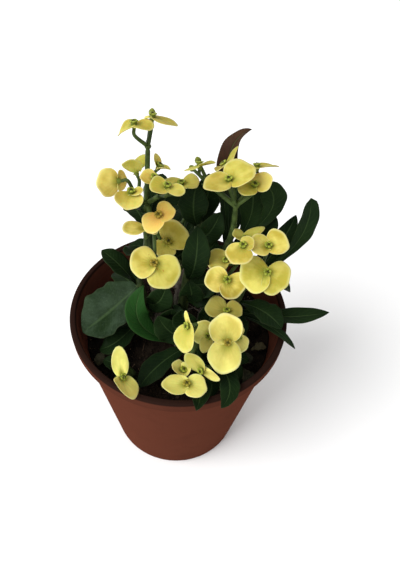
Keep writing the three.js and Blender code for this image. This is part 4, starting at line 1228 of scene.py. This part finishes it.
# %% Glands and stamens
small = Recipe("small_round_parts", Out=0.66 * MM, Wide=1.0 * MM, High=0.38 * MM, Finish=gland_finish)
ball = small.node("GeometryNodeMeshUVSphere", values={0: 12, 1: 8, 2: 1.0})
size = small.node(
    "ShaderNodeCombineXYZ",
    values={0: small.given("Out"), 1: small.given("Wide"), 2: small.given("High")},
)
ball = small.node("GeometryNodeTransform", values={"Geometry": ball, "Scale": size})
upright = {"Vector": small.attribute("aim", "FLOAT_VECTOR")}
upright = small.node("FunctionNodeAlignRotationToVector", {"axis": "Z"}, upright)
outward = {"Rotation": upright, "Vector": small.attribute("out", "FLOAT_VECTOR")}
outward = small.node("FunctionNodeAlignRotationToVector", {"axis": "X", "pivot_axis": "Z"}, outward)
values = {"Points": small.given("Geometry"), "Instance": ball, "Rotation": outward}
small.result(small.node("GeometryNodeInstanceOnPoints", values=values))
gland_marks = marks("gland_spots", gland_spots, aim=gland_aims, out=gland_outs, ripe=gland_ripe)
settle(small.cook("glands", gland_marks), "stalk")
stamen_marks = marks("stamen_spots", stamen_spots, aim=stamen_aims, out=stamen_outs)
stamen_size = {"Out": 0.22 * MM, "Wide": 0.26 * MM, "High": 0.5 * MM, "Finish": pollen_finish}
settle(small.cook("stamens", stamen_marks, **stamen_size), "bract")

# %% [markdown]
# ## The blooms
# A bloom is a pair of bracts, each broad and rounded with a slight point, hinged at a collar round the
# cup. They are thin, a little cupped and curled, and paler at the rim. Towards the cup they turn olive,
# partly their own green and partly painted shade. The lower blooms are painted paler by their height
# alone, which is painted light, and a dull olive tint, partly at random and partly painted shade, darkens
# the blooms that stand in shade, so no two have quite the same tint. Each is a grid in the round: one way
# goes out from the collar, the other way swings from side to side.

# %% The finish of the bracts
petal = Finish("bract_yellow", Specular_IOR_Level=0.06, Subsurface_Weight=0.12, Subsurface_Scale=0.002)
out, swing = petal.read("out"), petal.read("swing")
cloud = petal.noise(110, 3).between(0.35, 0.65)
yellow = petal.mix(cloud, (0.45, 0.355, 0.048), (0.73, 0.62, 0.150))
# Painted light: the lower blooms, by height alone, are painted a paler, brighter yellow.
painted_light_low = 1 - petal.height().between(0.118, 0.165)
yellow = petal.mix(painted_light_low * 0.55, yellow, (0.80, 0.74, 0.23))
yellow = petal.mix(out.between(0.84, 1.0) * 0.75, yellow, (0.80, 0.74, 0.34))
blush = petal.noise(70, 2).between(0.5, 0.75) * 0.25
yellow = petal.mix(blush, yellow, (0.62, 0.40, 0.10))
# Olive towards the cup: partly the bract's own green base, partly painted shade where the bracts close round
# the cup.
olive_base_and_shade = (1 - out.between(0.05, 0.45)) * 0.8
yellow = petal.mix(olive_base_and_shade, yellow, (0.23, 0.23, 0.020))
yellow = petal.mix(petal.read("lime") * 0.7, yellow, (0.33, 0.38, 0.05))
yellow = petal.mix(petal.read("peach") * (1 - out.between(0.3, 0.95) * 0.5), yellow, (0.66, 0.36, 0.09))
# The dull olive tint varies at random and is also painted shade on the blooms that stand in shade.
yellow = petal.mix(petal.read("dull_and_shade") * 0.6, yellow, (0.25, 0.22, 0.04))
spots = petal.noise(800, 2).between(0.68, 0.74) * (1 - out.between(0.3, 0.6)) * petal.read("spotted")
yellow = petal.mix(spots, yellow, (0.30, 0.10, 0.02))
lines = (swing * (8 * math.tau)).sine() * (1 - out.between(0.6, 1.0) * 0.7)
yellow = petal.mix(lines.between(0.75, 1.0) * 0.12, yellow, (0.40, 0.37, 0.05))
petal_relief = lines * 0.15 + petal.noise(400, 2)
bract_finish = petal.surface(yellow, 0.5 + cloud * 0.1, petal_relief, 0.12)

# %% One bract of a pair
BRACT_ROWS = 14
BRACT_COLUMNS = 40
BRACT_THICKNESS = 0.34
BRACT_SWING = math.radians(118)
BRACT_CENTRE = 0.45
BRACT_HALF_WIDTH = 0.75


def bract_outline(angle, breadth=1.0):
    """How far a bract reaches at an angle from its middle line, as a share of its length: an ellipse
    that is wider than long, with the cup near its edge, and a slight point."""
    long, wide = 1 - BRACT_CENTRE, BRACT_HALF_WIDTH * breadth
    p = BRACT_CENTRE * np.cos(angle) / long**2
    q = np.cos(angle) ** 2 / long**2 + np.sin(angle) ** 2 / wide**2
    reach = (p + np.sqrt(p**2 + q * (1 - BRACT_CENTRE**2 / long**2))) / q
    return reach + 0.02 * np.exp(-((angle / 0.22) ** 2)) - 0.01


def bract_skin(centre, cup_axis, reach, hinge, length, twist, breadth, above):
    """The closed skin of one bract, whose rim waves by chance. Its lobes lie above or below the other's."""
    swing = np.linspace(-1, 1, BRACT_COLUMNS + 1)[None, :]
    out = np.linspace(0, 1, BRACT_ROWS + 1)[:, None]
    angle = swing * BRACT_SWING
    phase = dice.random() * math.tau
    level = unit(np.cross(hinge, cup_axis))
    turn = twist * np.clip(out / 0.35, 0, 1) ** 2 * (3 - 2 * np.clip(out / 0.35, 0, 1))
    flat = unit(np.cross(reach, hinge))
    side = hinge * np.cos(turn)[..., None] + flat * np.sin(turn)[..., None]
    up = np.cross(reach, side)
    rim = np.maximum(COLLAR_RADIUS + 0.3, length * bract_outline(angle, breadth))
    rim = rim * (0.995 + 0.02 * np.sin(4 * angle + phase) + 0.016 * np.sin(9 * angle + 2 * phase))
    inner = 1.25
    radius = inner + (rim - inner) * out
    beyond = radius - inner
    dish = 0.1 * length * (beyond / length) ** 2
    hollow, curl = 0.16 + 0.22 * dice.random(), 0.045 + 0.06 * dice.random()
    cupped = hollow * length * (np.sin(angle) * radius / length) ** 2
    fold = 0.08 * length * np.exp(-((angle / 0.3) ** 2)) * out * (1 - 0.6 * out)
    frill = curl * length * np.sin(3 * angle + phase) * out**3
    rise = cupped - dish - fold + frill + above * 0.45 * np.clip(np.abs(angle) - 1.1, 0, 1)
    point = centre + level * (inner * np.cos(angle))[..., None] + reach * (beyond * np.cos(angle))[..., None]
    point = point + side * (radius * np.sin(angle))[..., None]
    thick = BRACT_THICKNESS * (1 - 0.45 * out) * np.ones_like(angle)
    upper = point + up * (rise + thick / 2)[..., None]
    lower = point + up * (rise - thick / 2)[..., None]
    values = {"out": out * np.ones_like(swing), "swing": swing * np.ones_like(out)}
    return blade(upper, lower, values)


# %% The pairs
# The dull tint is set high on blooms that stand in shade, as painted shade; lime, peach and spots are their
# own tints.
TINTS = {
    "bloom_middle_1": {"peach": 0.8},
    "bloom_middle_3": {"dull_and_shade": 0.5, "spotted": 0.6},
    "bloom_middle_4": {"dull_and_shade": 0.3, "spotted": 1.0},
    "bloom_left_4": {"peach": 0.3, "dull_and_shade": 0.3},
    "bloom_left_6": {"lime": 0.4, "dull_and_shade": 0.4},
    "bloom_left_7": {"lime": 0.5, "dull_and_shade": 0.4},
    "bloom_top_1": {"lime": 0.4},
    "bloom_left_2": {"lime": 0.8, "dull_and_shade": 0.4},
    "bloom_back_5": {"lime": 0.7},
    "bloom_right_1": {"lime": 0.6},
    "bloom_right_3": {"lime": 0.45, "dull_and_shade": 0.0},
    "bloom_right_4": {"dull_and_shade": 0.6},
    "bloom_front_1": {"dull_and_shade": 1.0, "lime": 0.2},
    "bloom_front_2": {"dull_and_shade": 0.1},
    "bloom_front_3": {"lime": 0.3},
    "bloom_front_4": {"dull_and_shade": 0.05},
    "bloom_low_3": {"lime": 0.4},
}
for stalk in STALKS.values():
    for name, (_, at, axis, *bracts) in stalk["blooms"].items():
        piece = Piece(name + "_bracts", bract_finish)
        centre, cup_axis = np.array(at, float), facing(*axis)
        for k, bract in enumerate(bracts):
            reach = facing(*bract[:2])
            hinge = unit(np.cross(cup_axis, reach))
            length, twist, breadth = [*bract[2:], *(0, 1)[len(bract) - 3 :]]
            bend, above = math.radians(twist), 1 - 2 * k
            shell = bract_skin(centre, cup_axis, reach, hinge, length, bend, breadth, above)
            chance = {"lime": 0.55 * dice.random() ** 2, "dull_and_shade": 0.7 * dice.random() ** 2}
            piece.add(shell, **{**chance, **TINTS.get(name, {})})
        piece.make("bract", name)
